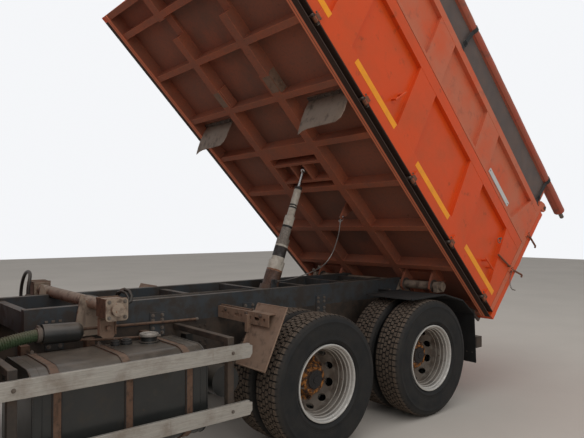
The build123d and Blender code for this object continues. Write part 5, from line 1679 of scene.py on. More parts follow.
@dataclass
class OilHose:
    """The thick rubber hose that loops over the far end of the front tube, pressed down by the bed."""

    route: Route = Route("oil_loop", 0.028, 1.119, (
        (3.010, -0.520, 1.165), (3.010, -0.520, 1.230), (2.994, -0.534, 1.294), (2.975, -0.587, 1.338),
        (2.964, -0.665, 1.353), (2.957, -0.750, 1.347), (2.952, -0.835, 1.318), (2.950, -0.905, 1.262),
        (2.950, -0.947, 1.190), (2.953, -0.950, 1.112), (2.960, -0.915, 1.048), (2.974, -0.850, 1.022),
        (2.990, -0.775, 1.040), (3.004, -0.700, 1.078), (3.010, -0.640, 1.100), (3.010, -0.590, 1.100),
    ))
    keep: float = 0.3
    anchor_z: float = 1.100

    def build(self) -> None:
        """Sweep the hose and screw its ends on."""
        line = self.route.line()
        draft = Draft()
        draft.rod(line, self.route.diameter / 2, 16)
        hose = draft.object("oil_loop", SHOP["hose"], smooth=80)
        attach(hose, "chassis")
        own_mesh(hose)
        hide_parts("oil_hose")
        fittings = [self.nut("oil_nut_upper", line[0], Vector((0, 0, 1)), 0.016),
                    self.nut("oil_nut_lower", line[-1], Vector((0, -1, 0)), 0.034)]
        for fitting in fittings:
            placed(fitting, "chassis", "hose_black")
        self.route.declare(hose, line, "object", "limp", "hanging", fittings)
        LOG.info("built the oil hose")

    def nut(self, name: str, foot: Vector, ahead: Vector, reach: float) -> bpy.types.Object:
        """A hexagon nut with its round sleeve."""
        draft = Draft()
        draft.rod([foot, foot + ahead * 0.014], 0.021, 6)
        draft.rod([foot, foot + ahead * reach], 0.0165, 16)
        return draft.object(name, SHOP["zinc"])


@dataclass
class Cover:
    """The canvas rolled on its tube along the left top edge, the strip below it, and the straps."""

    rear: tuple[float, float] = (-0.420, 1.988)
    front: tuple[float, float] = (4.270, 1.868)
    across: float = 1.190
    radius: float = 0.0675
    turns: int = 6
    pitch: float = 0.0060
    tube_r: float = 0.024
    strap_stations: tuple[float, ...] = (0.10, 2.20, 4.12)
    strip_low: float = 1.566

    def axis(self, s: float) -> Vector:
        """The roll's middle at a distance along the bed."""
        share = (s - self.rear[0]) / (self.front[0] - self.rear[0])
        return Vector((s, self.across, self.rear[1] + share * (self.front[1] - self.rear[1])))

    def swell(self, s: float) -> float:
        """How far the roll is drawn in near its straps."""
        return -0.006 * sum(math.exp(-((s - strap) / 0.05) ** 2) for strap in self.strap_stations)

    def build(self) -> None:
        """Roll the canvas, hang the strip and tie the straps."""
        tube = Draft()
        tube.rod([self.axis(-0.53), self.axis(-0.525), self.axis(4.262), self.axis(4.268)],
                 [0.019, self.tube_r, self.tube_r, 0.019], 20)
        tube_made = tube.fix("cover_tube", "zinc", ON_BED, BED_PLACE)
        roll = placed(self.roll(), *ON_BED, ("tarp",))
        strip = placed(self.strip(), *ON_BED, ("tarp",))
        straps = [placed(self.strap(i, s), *ON_BED) for i, s in enumerate(self.strap_stations)]

    def roll(self) -> bpy.types.Object:
        """The rolled canvas, one sheet from its outer edge to the tube."""
        stations, steps = 72, 20
        count = self.turns * steps + 1
        points = []
        for i in range(stations + 1):
            s = self.rear[0] + (self.front[0] - self.rear[0]) * i / stations
            middle_line = self.axis(s)
            for k in range(count):
                turn = 2 * math.pi * k / steps
                lump = noise.noise(Vector((s * 3.2, 1.3 * math.cos(turn),
                                           1.3 * math.sin(turn) + 0.1 * k / steps)))
                wrinkle = noise.noise(Vector((s * 14.0, 2.0 * math.cos(turn) + 5.0, 2.0 * math.sin(turn))))
                outer = 1.0 - k / count
                reach = self.radius - self.pitch * k / steps
                reach += outer * (self.swell(s) + 0.0022 * lump + 0.0016 * wrinkle - 0.002)
                start = turn - 0.9
                points.append(middle_line + Vector((0, math.cos(start), math.sin(start))) * reach)
        faces = [
            (i * count + k, i * count + k + 1, (i + 1) * count + k + 1, (i + 1) * count + k)
            for i in range(stations) for k in range(count - 1)
        ]
        draft = Draft()
        draft.faces([tuple(p) for p in points], faces)
        return draft.object("cover_roll", SHOP["cover"], BED_PLACE, smooth=70)

    def strip(self) -> bpy.types.Object:
        """The canvas between the roll and the board, pulled into shallow folds."""
        stations, rows = 110, 8
        points = []
        for i in range(stations + 1):
            s = 0.061 + (4.267 - 0.061) * i / stations
            top = self.axis(s).z - 0.028
            for k in range(rows + 1):
                share = k / rows
                fold = noise.noise(Vector((s * 5.0 + 1.1 * share, 0.4 * share, 3.0)))
                fold += 0.5 * noise.noise(Vector((s * 16.0 - 2.0 * share, 7.0, share)))
                slack = math.sin(math.pi * min(1.0, 1.15 * share))
                points.append((s, 1.206 + 0.011 * fold * slack,
                               self.strip_low + share * (top - self.strip_low)))
        count = rows + 1
        faces = [
            (i * count + k, i * count + k + 1, (i + 1) * count + k + 1, (i + 1) * count + k)
            for i in range(stations) for k in range(rows)
        ]
        draft = Draft()
        draft.faces(points, faces)
        return draft.object("cover_strip", SHOP["canvas"], BED_PLACE, smooth=70)

    def strap(self, index: int, s: float) -> bpy.types.Object:
        """A webbing strap round the roll, down to a buckle and a hook on the board's top."""
        centre = self.axis(s)
        foot = 1.565
        path = [Vector((s, 1.2215, foot)), Vector((s, 1.224, 1.62)), Vector((s, 1.226, centre.z - 0.088))]
        reach = self.radius - 0.0025
        for k in range(27):
            turn = math.radians(-50 + 285 * k / 26)
            path.append(centre + Vector((0, math.cos(turn), math.sin(turn))) * reach)
        half, thick = 0.022, 0.0022
        draft = Draft()
        points, faces = [], []
        for (inner, point) in zip(carried(path), path):
            ahead = inner[0].cross(inner[1])
            out = Vector((1, 0, 0)).cross(ahead).normalized()
            points += [tuple(point + Vector((x, 0, 0)) + out * y)
                       for x, y in ((-half, 0), (half, 0), (half, -thick), (-half, -thick))]
        for i in range(len(path) - 1):
            faces += [(4 * i + k, 4 * i + (k + 1) % 4, 4 * i + 4 + (k + 1) % 4, 4 * i + 4 + k)
                      for k in range(4)]
        faces += [(0, 1, 2, 3), tuple(range(4 * len(path) - 4, 4 * len(path)))]
        draft.faces(points, faces)
        ring = [Vector((s + u, 1.2285, v)) for u, v in rounded((-0.030, 1.655), (0.030, 1.700), 0.007, 3)]
        draft.rod(ring, 0.0035, 8, loop=True)
        draft.rod([(s - 0.028, 1.2300, 1.677), (s + 0.028, 1.2300, 1.677)], 0.003, 8)
        draft.block((s - 0.026, 1.214, 1.560), (s + 0.026, 1.2512, 1.572))
        return draft.object(f"cover_strap_{index + 1}", SHOP["trim"], BED_PLACE, bevel=0.0006)


@dataclass
class BedSide:
    """What is fixed to one drop side and the upper board above it."""

    side: Side
    strips: tuple[tuple[float, float], ...] = ((0.13, 0.83), (1.22, 1.90), (2.31, 2.99), (3.40, 4.08))
    strip_low: float = 0.180
    strip_high: float = 0.238
    hinges: tuple[float, ...] = (0.240, 1.030, 1.840, 2.700, 3.470)
    face: float = 1.250
    pin_y: float = 1.262
    pin_h: float = 0.040

    @property
    def body(self) -> str:
        """The drop side's body."""
        return f"side_board_{self.side.word}"

    def out(self, value: float) -> float:
        """A distance from the middle plane on this flank."""
        return value * self.side.value

    def fix(self, draft: Draft, word: str, finish: str, bevel: float = 0.0, body: str = "") -> None:
        """Close a draft and fix it to the drop side, or to another body."""
        draft.fix(f"{word}_{self.side.word}", finish, (body or self.body, "bed_orange"), BED_PLACE, bevel)

    def build(self) -> None:
        """Fit strips, hinge plates, pins, ring, latches, the cover's bead and the chain."""
        self.strips_and_plate()
        self.hinge_plates()
        self.ring()
        self.latches()
        self.bead()
        if self.side is Side.LEFT:
            self.chain()

    def strips_and_plate(self) -> None:
        """The reflecting strips on the foot rail and the blank white plate on the upper board."""
        strips = Draft()
        for start, end in self.strips:
            outline = rounded((start, self.strip_low), (end, self.strip_high), 0.003, 3)
            strips.prism(outline, self.out(self.face - 0.001), self.out(self.face + 0.0016))
        self.fix(strips, "reflecting_strips", "amber")
        plate = Draft()
        plate.prism(rounded((0.553, 1.055), (1.057, 1.110), 0.006), self.out(self.face - 0.004),
                    self.out(self.face + 0.0022))
        self.fix(plate, "blank_plate", "white", 0.0005, "bed")
        spots = [(s, self.out(self.face + 0.002), 1.0825) for s in (0.570, 1.040)]
        bolted(f"plate_screws_{self.side.word}", spots, (0.005, 0.003), "y", ON_BED, sense=self.out(1),
               place=BED_PLACE)

    def hinge_plates(self) -> None:
        """Steel plates over the hinges, their bolts and the pins' heads."""
        plates = Draft()
        for s in self.hinges:
            outline = [(self.out(y), h) for y, h in (
                (1.2515, 0.060), (1.2515, 0.092), (1.2765, 0.092), (1.2765, 0.054), (1.262, 0.052))]
            plates.prism(outline, s - 0.0245, s + 0.0245, "x")
            plates.rod([(s - 0.0235, self.out(self.pin_y), self.pin_h),
                        (s + 0.0235, self.out(self.pin_y), self.pin_h)],
                       0.0158, 20)
        self.fix(plates, "hinge_plates", "hinge", 0.0015)
        spots = [(s + dx, self.out(self.face - 0.0002), 0.106) for s in self.hinges for dx in (-0.030, 0.030)]
        bolted(f"hinge_bolts_{self.side.word}", spots, (0.0075, 0.006), "y", (self.body, "bed_orange"),
               sense=self.out(1), place=BED_PLACE)
        pins = Draft()
        for s in self.hinges:
            for end, sense in ((s - 0.040, -1), (s + 0.040, 1)):
                centre = Vector((end, self.out(self.pin_y), self.pin_h))
                pins.rod([centre, centre + Vector((sense * 0.008, 0, 0))], 0.0115, 12)
        self.fix(pins, "hinge_pins", "zinc", 0.001, "bed")

    def ring(self) -> None:
        """A lashing ring on its eye."""
        draft = Draft()
        y = self.out(self.face + 0.010)
        loop = [Vector((0.427 + 0.026 * math.cos(t), y, 0.676 + 0.026 * math.sin(t)))
                for t in (2 * math.pi * k / 24 for k in range(24))]
        draft.rod(loop, 0.0045, 8, loop=True)
        draft.rod([(0.427, self.out(self.face - 0.006), 0.704), (0.427, self.out(self.face + 0.020), 0.704)],
                  0.009, 12)
        draft.rod([(0.427, self.out(self.face + 0.018), 0.704), (0.427, self.out(self.face + 0.022), 0.704)],
                  0.014, 12)
        self.fix(draft, "lashing_ring", "zinc")

    def latches(self) -> None:
        """Rusty sleeves over the tailgate's two latch bars and the long lever that works them."""
        bars = Draft()
        for z, rise in ((0.620, 0.095), (1.145, 0.012)):
            end = Vector((-0.152, self.out(self.face + 0.018), z + rise))
            bars.rod([(0.044, self.out(self.face + 0.016), z), end], 0.0108, 10)
            bars.rod([end + Vector((0.006, 0, 0)), end + Vector((-0.012, 0, 0.004)),
                      end + Vector((-0.020, 0, -0.020))],
                     0.0100, 8)
            for dz in (-0.028, 0.028):
                centre = Vector((0.030, self.out(self.face + 0.006), z + dz))
                bars.rod([centre, centre + Vector((0, self.out(0.010), 0))], 0.009, 6)
        self.fix(bars, "latch_bars", "hinge", body="bed")
        lever = Draft()
        lever.rod([(0.096, self.out(self.face + 0.016), 0.613), (0.344, self.out(self.face + 0.016), 0.551)],
                  0.0100, 10)
        lever.rod([(0.100, self.out(self.face + 0.004), 0.612), (0.100, self.out(self.face + 0.030), 0.612)],
                  0.0125, 12)
        self.fix(lever, "latch_lever", "hinge")

    def bead(self) -> None:
        """The dark bead that holds the canvas along the board's top, with its clips."""
        if self.side is Side.RIGHT:
            return
        draft = Draft()
        draft.rod([(0.062, self.out(1.2245), 1.5725), (4.268, self.out(1.2245), 1.5725)], 0.0075, 10)
        self.fix(draft, "cover_bead", "trim", body="bed")
        clip = Draft()
        clip.prism([(-0.012, -0.009), (0.012, -0.009), (0.012, 0.011), (-0.012, 0.011)], -0.010, 0.010, "y")
        item = clip.object("clip_item", SHOP["zinc"])
        made = REPEATS.grow(
            Rule.LINE, "cover_clips", item, SHOP["zinc"], BED_PLACE, Count=11, Start=(0.16, 1.2245, 1.5735),
            Step=(0.40, 0.0, 0.0),
        )
        placed(made, *ON_BED)

    def chain(self) -> None:
        """A short chain from the post's lower latch, hanging beside the tailgate."""
        line = [(0.030, 1.272, 0.600), (0.004, 1.272, 0.520), (-0.050, 1.270, 0.470), (-0.110, 1.270, 0.468),
                (-0.160, 1.270, 0.500)]
        source = curved("latch_chain", line, "POLY")
        link = Draft()
        loop = []
        for k in range(16):
            turn = 2 * math.pi * k / 16
            long = 0.0065 if math.cos(turn) > 0 else -0.0065
            loop.append(Vector((0.0052 * math.sin(turn), 0, 0.0052 * math.cos(turn) + long)))
        link.rod(loop, 0.0019, 6, loop=True)
        item = link.object("link_item", SHOP["zinc"])
        made = REPEATS.grow(Rule.PATH, "latch_chain", source, SHOP["zinc"], BED_PLACE, Count=14, Item=item,
                            Twist=math.pi / 2)
        bpy.data.objects.remove(item)
        placed(made, *ON_BED)


@dataclass
class BedUnderside:
    """Plates, pins, bolts and bearing rings below the bed's floor."""

    sill: float = 0.400
    beams: tuple[float, ...] = (0.700, 1.270, 1.850, 2.400, 2.950, 3.530, 4.060)

    def build(self) -> None:
        """Fit everything below the floor."""
        self.bearings()
        self.sill_plates()
        self.flap_bolts()
        self.seams()

    def bearings(self) -> None:
        """Round bosses where the tipping ears turn on the rear tube."""
        draft = Draft()
        for low, high in ((0.452, 0.462), (0.484, 0.496), (0.810, 0.820), (0.842, 0.854)):
            for sense in (1, -1):
                profile = [(0.0475, sense * low), (0.062, sense * low), (0.066, sense * (low + high) / 2),
                           (0.062, sense * high), (0.0475, sense * high)]
                draft.lathe(profile, Vector((PIVOT_ALONG, 0, -PIVOT_BELOW)), 40)
        draft.fix("bearing_bosses", "steel", ON_BED, BED_PLACE)

    def sill_plates(self) -> None:
        """Grey doubling plates with round holes on the sills, each with its pin."""
        draft = Draft()
        for sense in (1, -1):
            face = self.sill + 0.050
            outer = sense * (face + 0.004)
            outline = [(2.995, 0.030), (3.190, 0.030), (3.205, 0.060), (3.205, 0.118), (2.985, 0.118),
                       (2.985, 0.050)]
            draft.prism(outline, sense * (face - 0.002), outer)
            draft.rod([(3.060, sense * (face - 0.004), 0.075), (3.060, sense * (face + 0.030), 0.075)],
                      0.014, 14)
            draft.rod([(3.135, sense * (face - 0.004), 0.075), (3.135, sense * (face + 0.007), 0.075)],
                      0.024, 18)
            draft.prism([(3.010, 0.022), (3.180, 0.022), (3.180, 0.0145), (3.010, 0.0145)],
                        sense * (self.sill - 0.046), sense * (self.sill + 0.054))
        draft.fix("sill_plates", "plate", ON_BED, BED_PLACE, bevel=0.001)

    def flap_bolts(self) -> None:
        """The strips and bolts that hold the two bent guards below the floor."""
        strips = Draft()
        spots = []
        for shift in (0.0, -1.738):
            strips.block((2.793, 0.602 + shift, 0.1115), (2.829, 1.110 + shift, 0.1172))
            spots += [(2.811, 0.640 + shift + 0.0885 * k, 0.1115) for k in range(6)]
        strips.fix("guard_strips", "steel", ON_BED, BED_PLACE)
        bolted("guard_bolts", spots, (0.009, 0.008), "z", ON_BED, sense=-1.0, place=BED_PLACE)

    def seams(self) -> None:
        """Weld beads where the cross-members meet the sills and the edge channels."""
        draft = Draft()
        for s in self.beams:
            for face in (s - 0.031, s + 0.031):
                for y in (0.349, 0.451, 1.149):
                    for sense in (1, -1):
                        draft.rod([(face, sense * y, 0.018), (face, sense * y, 0.122)], 0.0045, 6)
        draft.fix("underside_welds", "under", ON_BED, BED_PLACE)


@dataclass
class TailEnd:
    """The tailgate's fittings, the rear lamps and the blank number plate."""

    bar_x: float = -0.905
    grab_y: float = 0.9

    def build(self) -> None:
        """Fit the latches, lamps and the plate."""
        self.latches()
        self.pins()
        self.lamps()
        self.plate()

    def latches(self) -> None:
        """Two claws on the bed that hold the tailgate's foot, each on its own shaft below the floor's end."""
        draft = Draft()
        for sense in (-1, 1):
            draft.rod([(0.090, sense * 0.560, -0.012), (0.090, sense * 1.120, -0.012)], 0.014, 14)
        for y in (-1.05, -0.60, 0.60, 1.05):
            draft.block((0.070, y - 0.008, -0.030), (0.110, y + 0.008, 0.012))
        for y in (-1.08, 1.08):
            outline = [(0.112, -0.030), (0.112, 0.006), (0.070, 0.012), (-0.068, 0.010), (-0.072, 0.034),
                       (-0.084, 0.034), (-0.088, -0.012), (0.060, -0.032)]
            draft.prism(outline, y - 0.011, y + 0.011)
        draft.fix("gate_claws", "steel", ON_BED, BED_PLACE, bevel=0.001)

    def pins(self) -> None:
        """Washers and split pins on the tailgate's upper pins, and grab handles on its face."""
        draft = Draft()
        for sense in (1, -1):
            draft.rod([(-0.045, sense * 1.251, 1.650), (-0.045, sense * 1.258, 1.650)], 0.021, 20)
            draft.rod([(-0.045, sense * 1.256, 1.628), (-0.045, sense * 1.256, 1.672)], 0.0028, 8)
            grab = [Vector((-0.062, sense * self.grab_y, 0.300)),
                    Vector((-0.098, sense * self.grab_y, 0.302)),
                    Vector((-0.104, sense * self.grab_y, 0.318)),
                    Vector((-0.104, sense * self.grab_y, 0.442)),
                    Vector((-0.098, sense * self.grab_y, 0.458)),
                    Vector((-0.062, sense * self.grab_y, 0.460))]
            draft.rod(grab, 0.009, 10)
            for h in (0.300, 0.460):
                draft.block((-0.064, sense * self.grab_y - 0.02, h - 0.02),
                            (-0.012, sense * self.grab_y + 0.02, h + 0.02))
        draft.fix("gate_pins", "steel", ("tailgate", "bed_orange"), BED_PLACE)

    def lamps(self) -> None:
        """Three lenses on each side of the underrun bar."""
        for side in Side:
            base = Draft()
            sense = side.value
            low, high = sorted((sense * 0.820, sense * 1.140))
            base.block((AXLE_X + self.bar_x - 0.012, low, 0.515),
                       (self.bar_x + AXLE_X + 0.001, high, 0.600))
            base.fix(f"tail_lamp_{side.word}", "trim", LAMP, bevel=0.002, replaces=("lamps",))
            for word, near, far, finish in (("stop", 1.030, 1.132, "lens"), ("turn", 0.928, 1.026, "amber"),
                                            ("back", 0.828, 0.924, "clear_lens")):
                lens = Draft()
                y0, y1 = sorted((sense * near, sense * far))
                lens.prism(rounded((y0, 0.522), (y1, 0.593), 0.010), AXLE_X + self.bar_x - 0.020,
                           AXLE_X + self.bar_x - 0.011, "x")
                for k in range(6):
                    y = y0 + (y1 - y0) * (k + 0.5) / 6
                    lens.rod([(AXLE_X + self.bar_x - 0.0195, y, 0.528),
                              (AXLE_X + self.bar_x - 0.0195, y, 0.587)], 0.003, 8)
                lens.fix(f"lens_{word}_{side.word}", finish, LAMP, bevel=0.001)

    def plate(self) -> None:
        """The blank number plate in its frame."""
        x = AXLE_X + self.bar_x
        frame_draft = Draft()
        frame_draft.prism(rounded((-0.268, 0.497), (0.268, 0.616), 0.008), x - 0.006, x + 0.001, "x")
        frame_draft.fix("rear_plate_holder", "trim", LAMP, bevel=0.001)
        plate = Draft()
        plate.prism(rounded((-0.260, 0.503), (0.260, 0.610), 0.006), x - 0.008, x - 0.005, "x")
        plate.fix("rear_blank_plate", "white", LAMP)


def upright(x: float, y: float, z: float) -> Matrix:
    """Axes at a station whose cross axis stands upright."""
    return Matrix.Translation(at(x, y, z)) @ Matrix.Rotation(math.radians(90), 4, "X")


@dataclass
class FrameHardware:
    """Bolts, pipes, rods, brackets and clamp fittings along the frame."""

    brackets: tuple[float, ...] = (-0.300, 0.660, 1.500, 2.350, 3.100)
    members: tuple[float, ...] = (0.660, 1.950, 2.700, 3.560)
    rail: float = 0.430
    tube_x: float = 2.850
    tube_z: float = 1.195

    def build(self) -> None:
        """Fit everything along the frame."""
        for side in Side:
            self.bolts(side)
            self.clamp(side)
        self.pipes()
        self.rods()
        self.formed_pipe()
        self.hanging_bracket()

    def bolts(self, side: Side) -> None:
        """Bolts through the tipping frame's brackets and rivets along the rail."""
        out = side.value
        spots = [at(x + dx, out * (self.rail + 0.010), z) for x in self.brackets for dx in (-0.038, 0.038)
                 for z in (0.925, 0.962, 1.022, 1.058)]
        bolted(f"bracket_bolts_{side.word}", spots, (0.012, 0.010), "y", ON_FRAME, sense=out)
        spots = [at(x + dx, out * self.rail, z) for x in self.members for dx in (-0.025, 0.025)
                 for z in (0.775, 0.815, 0.895, 0.935)]
        spots += [at(5.40 - 0.16 * k, out * self.rail, 0.745) for k in range(5)]
        bolted(f"rail_rivets_{side.word}", spots, (0.0095, 0.007), "y", ON_FRAME, sense=out, finish="rails")

    def clamp(self, side: Side) -> None:
        """The plug, bolts and lifting eye of the clamp on one end of the front tube."""
        out = side.value
        draft = Draft()
        centre = at(self.tube_x, 0, self.tube_z)
        draft.rod([centre + Vector((0, out * 0.868, 0)), centre + Vector((0, out * 0.881, 0))], 0.034, 24)
        draft.rod([centre + Vector((0, out * 0.880, 0)), centre + Vector((0, out * 0.886, 0))], 0.020, 16)
        for x in (-0.0705, 0.0665):
            low, high = sorted((out * 0.700, out * 0.862))
            draft.prism([(centre.x + x, 1.140), (centre.x + x + 0.004, 1.140), (centre.x + x + 0.004, 1.262),
                         (centre.x + x, 1.262)], low, high)
        for y in (0.712, 0.848):
            draft.rod([at(self.tube_x - 0.074, out * y, 1.2595), at(self.tube_x + 0.074, out * y, 1.2595)],
                      0.0055, 8)
        draft.fix(f"clamp_plug_{side.word}", "strap", ON_FRAME, bevel=0.001)
        spots = [at(self.tube_x + dx, out * 0.872, self.tube_z + dz) for dx in (-0.052, 0.052)
                 for dz in (-0.052, 0.048)]
        bolted(f"clamp_bolts_{side.word}", spots, (0.0105, 0.010), "y", ON_FRAME, sense=out)

    def pipes(self) -> None:
        """Steel pipes on the cross-members between the rails, and their clips."""
        draft = Draft()
        for k, y in enumerate((0.205, 0.232, 0.262)):
            draft.rod([at(1.315 + 0.02 * k, y, 1.130), at(1.330 + 0.02 * k, y, 1.158), at(1.380, y, 1.1685),
                       at(2.600, y, 1.1685), at(2.660, y - 0.006 * k, 1.164),
                       at(2.700 + 0.03 * k, y - 0.02, 1.120)],
                      0.0080, 10)
        for k, y in enumerate((0.215, 0.245)):
            draft.rod([at(-0.470, y, 1.110), at(-0.455, y, 1.150), at(-0.410, y, 1.1685),
                       at(0.160, y, 1.1685), at(0.215 + 0.03 * k, y, 1.162), at(0.260 + 0.03 * k, y, 1.100)],
                       0.0080, 10)
        draft.fix("frame_pipes", "hose", ON_FRAME)
        clips = Draft()
        for x, ys in ((1.900, (0.205, 0.232, 0.262)), (2.600, (0.205, 0.232, 0.262)),
                      (-0.400, (0.215, 0.245)), (0.120, (0.215, 0.245))):
            for y in ys:
                arc = [at(x, y + 0.0095 * math.cos(t), 1.1685 + 0.0095 * math.sin(t))
                       for t in (math.pi * k / 8 for k in range(9))]
                clips.rod([p + Vector((0.004, 0, 0)) for p in arc], 0.0022, 6)
                clips.rod([p - Vector((0.004, 0, 0)) for p in arc], 0.0022, 6)
        clips.fix("pipe_clips", "zinc", ON_FRAME)

    def rods(self) -> None:
        """The rusty rods that run above the fuel tank, and small clips on the tipping frame's foot."""
        draft = Draft()
        draft.rod([at(2.020, 0.4515, 0.998), at(2.350, 0.4515, 1.006), at(3.105, 0.4515, 1.028)], 0.0105, 10)
        draft.rod([at(2.455, 0.640, 0.9445), at(2.900, 0.610, 0.968), at(3.205, 0.570, 1.0085)], 0.0085, 10)
        draft.fix("long_rods", "strap", ON_FRAME)
        ends = Draft()
        ends.rod([at(2.430, 0.642, 0.9435), at(2.480, 0.638, 0.9465)], 0.012, 8)
        ends.rod([at(3.190, 0.572, 1.0065), at(3.212, 0.569, 1.0095)], 0.012, 8)
        ends.rod([at(2.008, 0.4515, 0.9975), at(2.030, 0.4515, 0.998)], 0.0135, 8)
        for x in (3.062, 3.108, 3.152):
            ends.block(at(x - 0.010, 0.4295, 1.083), at(x + 0.010, 0.438, 1.098))
        ends.fix("rod_ends", "zinc", ON_FRAME, bevel=0.001)

    def formed_pipe(self) -> None:
        """The bent steel pipe that arches behind the near clamp, with its two unions."""
        arch = [at(2.700, 0.452, 1.130), at(2.694, 0.470, 1.180), at(2.690, 0.505, 1.240),
                at(2.684, 0.545, 1.276), at(2.672, 0.585, 1.286), at(2.660, 0.625, 1.277),
                at(2.655, 0.655, 1.246), at(2.668, 0.672, 1.212), at(2.710, 0.680, 1.196),
                at(2.760, 0.686, 1.194), at(2.792, 0.700, 1.194)]
        draft = Draft()
        draft.rod(arch, 0.0115, 12)
        draft.rod([point + Vector((0.030, 0.012, -0.010)) for point in arch[1:-1]], 0.0085, 10)
        draft.fix("arched_pipe", "hose", ON_FRAME)
        unions = Draft()
        for first, second in ((arch[-3], arch[-2]), (arch[3], arch[4]), (arch[1], arch[2])):
            unions.rod([first + (second - first) * 0.1, first + (second - first) * 0.9], 0.0155, 6)
        unions.prism([(AXLE_X + 2.672, 1.100), (AXLE_X + 2.728, 1.100), (AXLE_X + 2.728, 1.150),
                      (AXLE_X + 2.672, 1.150)], 0.4295, 0.456)
        unions.fix("pipe_unions", "zinc", ON_FRAME, bevel=0.001)

    def hanging_bracket(self) -> None:
        """The brown bracket below the near clamp, with its stud."""
        draft = Draft()
        outline = [(2.795, 1.134), (2.915, 1.134), (2.905, 1.015), (2.880, 0.990), (2.812, 0.990),
                   (2.800, 1.015)]
        draft.prism([(AXLE_X + x, z) for x, z in outline], 0.716, 0.724)
        for x in (2.799, 2.905):
            draft.block(at(x, 0.700, 1.012), at(x + 0.006, 0.740, 1.133))
        draft.rod([at(2.855, 0.722, 1.060), at(2.855, 0.756, 1.060)], 0.011, 10)
        draft.rod([at(2.855, 0.748, 1.060), at(2.855, 0.757, 1.060)], 0.017, 6)
        draft.fix("clamp_bracket", "plate", ON_FRAME, bevel=0.001)


@dataclass
class FuelTank:
    """Cap, plugs, strap edges, strap bolts and end seams of the fuel tank."""

    low: tuple[float, float] = (0.504, 0.340)
    high: tuple[float, float] = (1.120, 0.930)
    corner: float = 0.130
    rear: float = 2.330
    front: float = 3.430
    straps: tuple[float, ...] = (2.440, 2.850, 3.270)

    def loop(self, x: float, grow: float) -> list[Vector]:
        """A closed line round the tank at a station."""
        low = (self.low[0] - grow, self.low[1] - grow)
        high = (self.high[0] + grow, self.high[1] + grow)
        return [at(x, y, z) for y, z in rounded(low, high, self.corner + grow, 8)]

    def build(self) -> None:
        """Fit everything on the tank."""
        seams = Draft()
        for x in (self.rear + 0.004, self.front - 0.004):
            seams.rod(self.loop(x, 0.000), 0.0055, 8, loop=True)
        for x in (self.rear + 0.055, self.front - 0.055):
            seams.rod(self.loop(x, -0.001), 0.003, 6, loop=True)
        seams.fix("tank_seams", "tank", ON_TANK)
        edges = Draft()
        for x in self.straps:
            for dx in (0.003, 0.052):
                edges.rod(self.loop(x + dx, 0.0065), 0.0032, 6, loop=True)
        edges.fix("strap_edges", "trim", ON_FRAME)
        spots = [at(x + 0.0275, 0.640, 0.937) for x in self.straps]
        bolted("strap_bolts", spots, (0.011, 0.016), "z", ON_FRAME)
        self.caps()

    def caps(self) -> None:
        """The pressed filler cap and the two black plugs."""
        cap = Draft()
        cap.lathe([(0.0, 0.004), (0.0615, 0.0), (0.0645, 0.004), (0.0650, 0.016), (0.0620, 0.0215),
                   (0.0560, 0.0225), (0.0520, 0.0185), (0.0300, 0.0170), (0.0270, 0.0215), (0.0, 0.0225)],
                   Vector((0, 0, 0)), 48, False)
        place = upright(2.566, 0.740, 0.972)
        placed(cap.object("filler_cap", SHOP["guard"], place, 30), *ON_TANK)
        grip = Draft()
        grip.prism([(-0.004, -0.012), (0.004, -0.012), (0.004, 0.012), (-0.004, 0.012)], -0.0016, 0.0016, "x")
        made = REPEATS.grow(
            Rule.RING, "cap_grips", grip.object("grip_item", SHOP["guard"]), SHOP["guard"], place, Count=36,
            Rows=1, Radius=0.0648, Centre=(0, 0.010, 0),
        )
        placed(made, *ON_TANK)
        plugs = Draft()
        for x, radius in ((2.712, 0.036), (2.790, 0.028)):
            centre = at(x, 0.700, 0)
            for low, high, share in ((0.934, 0.946, 1.12), (0.946, 0.962, 1.0), (0.962, 0.968, 0.62)):
                plugs.rod([centre + Vector((0, 0, low)), centre + Vector((0, 0, high))], radius * share, 24)
        plugs.fix("tank_plugs", "trim", ON_TANK, bevel=0.001)


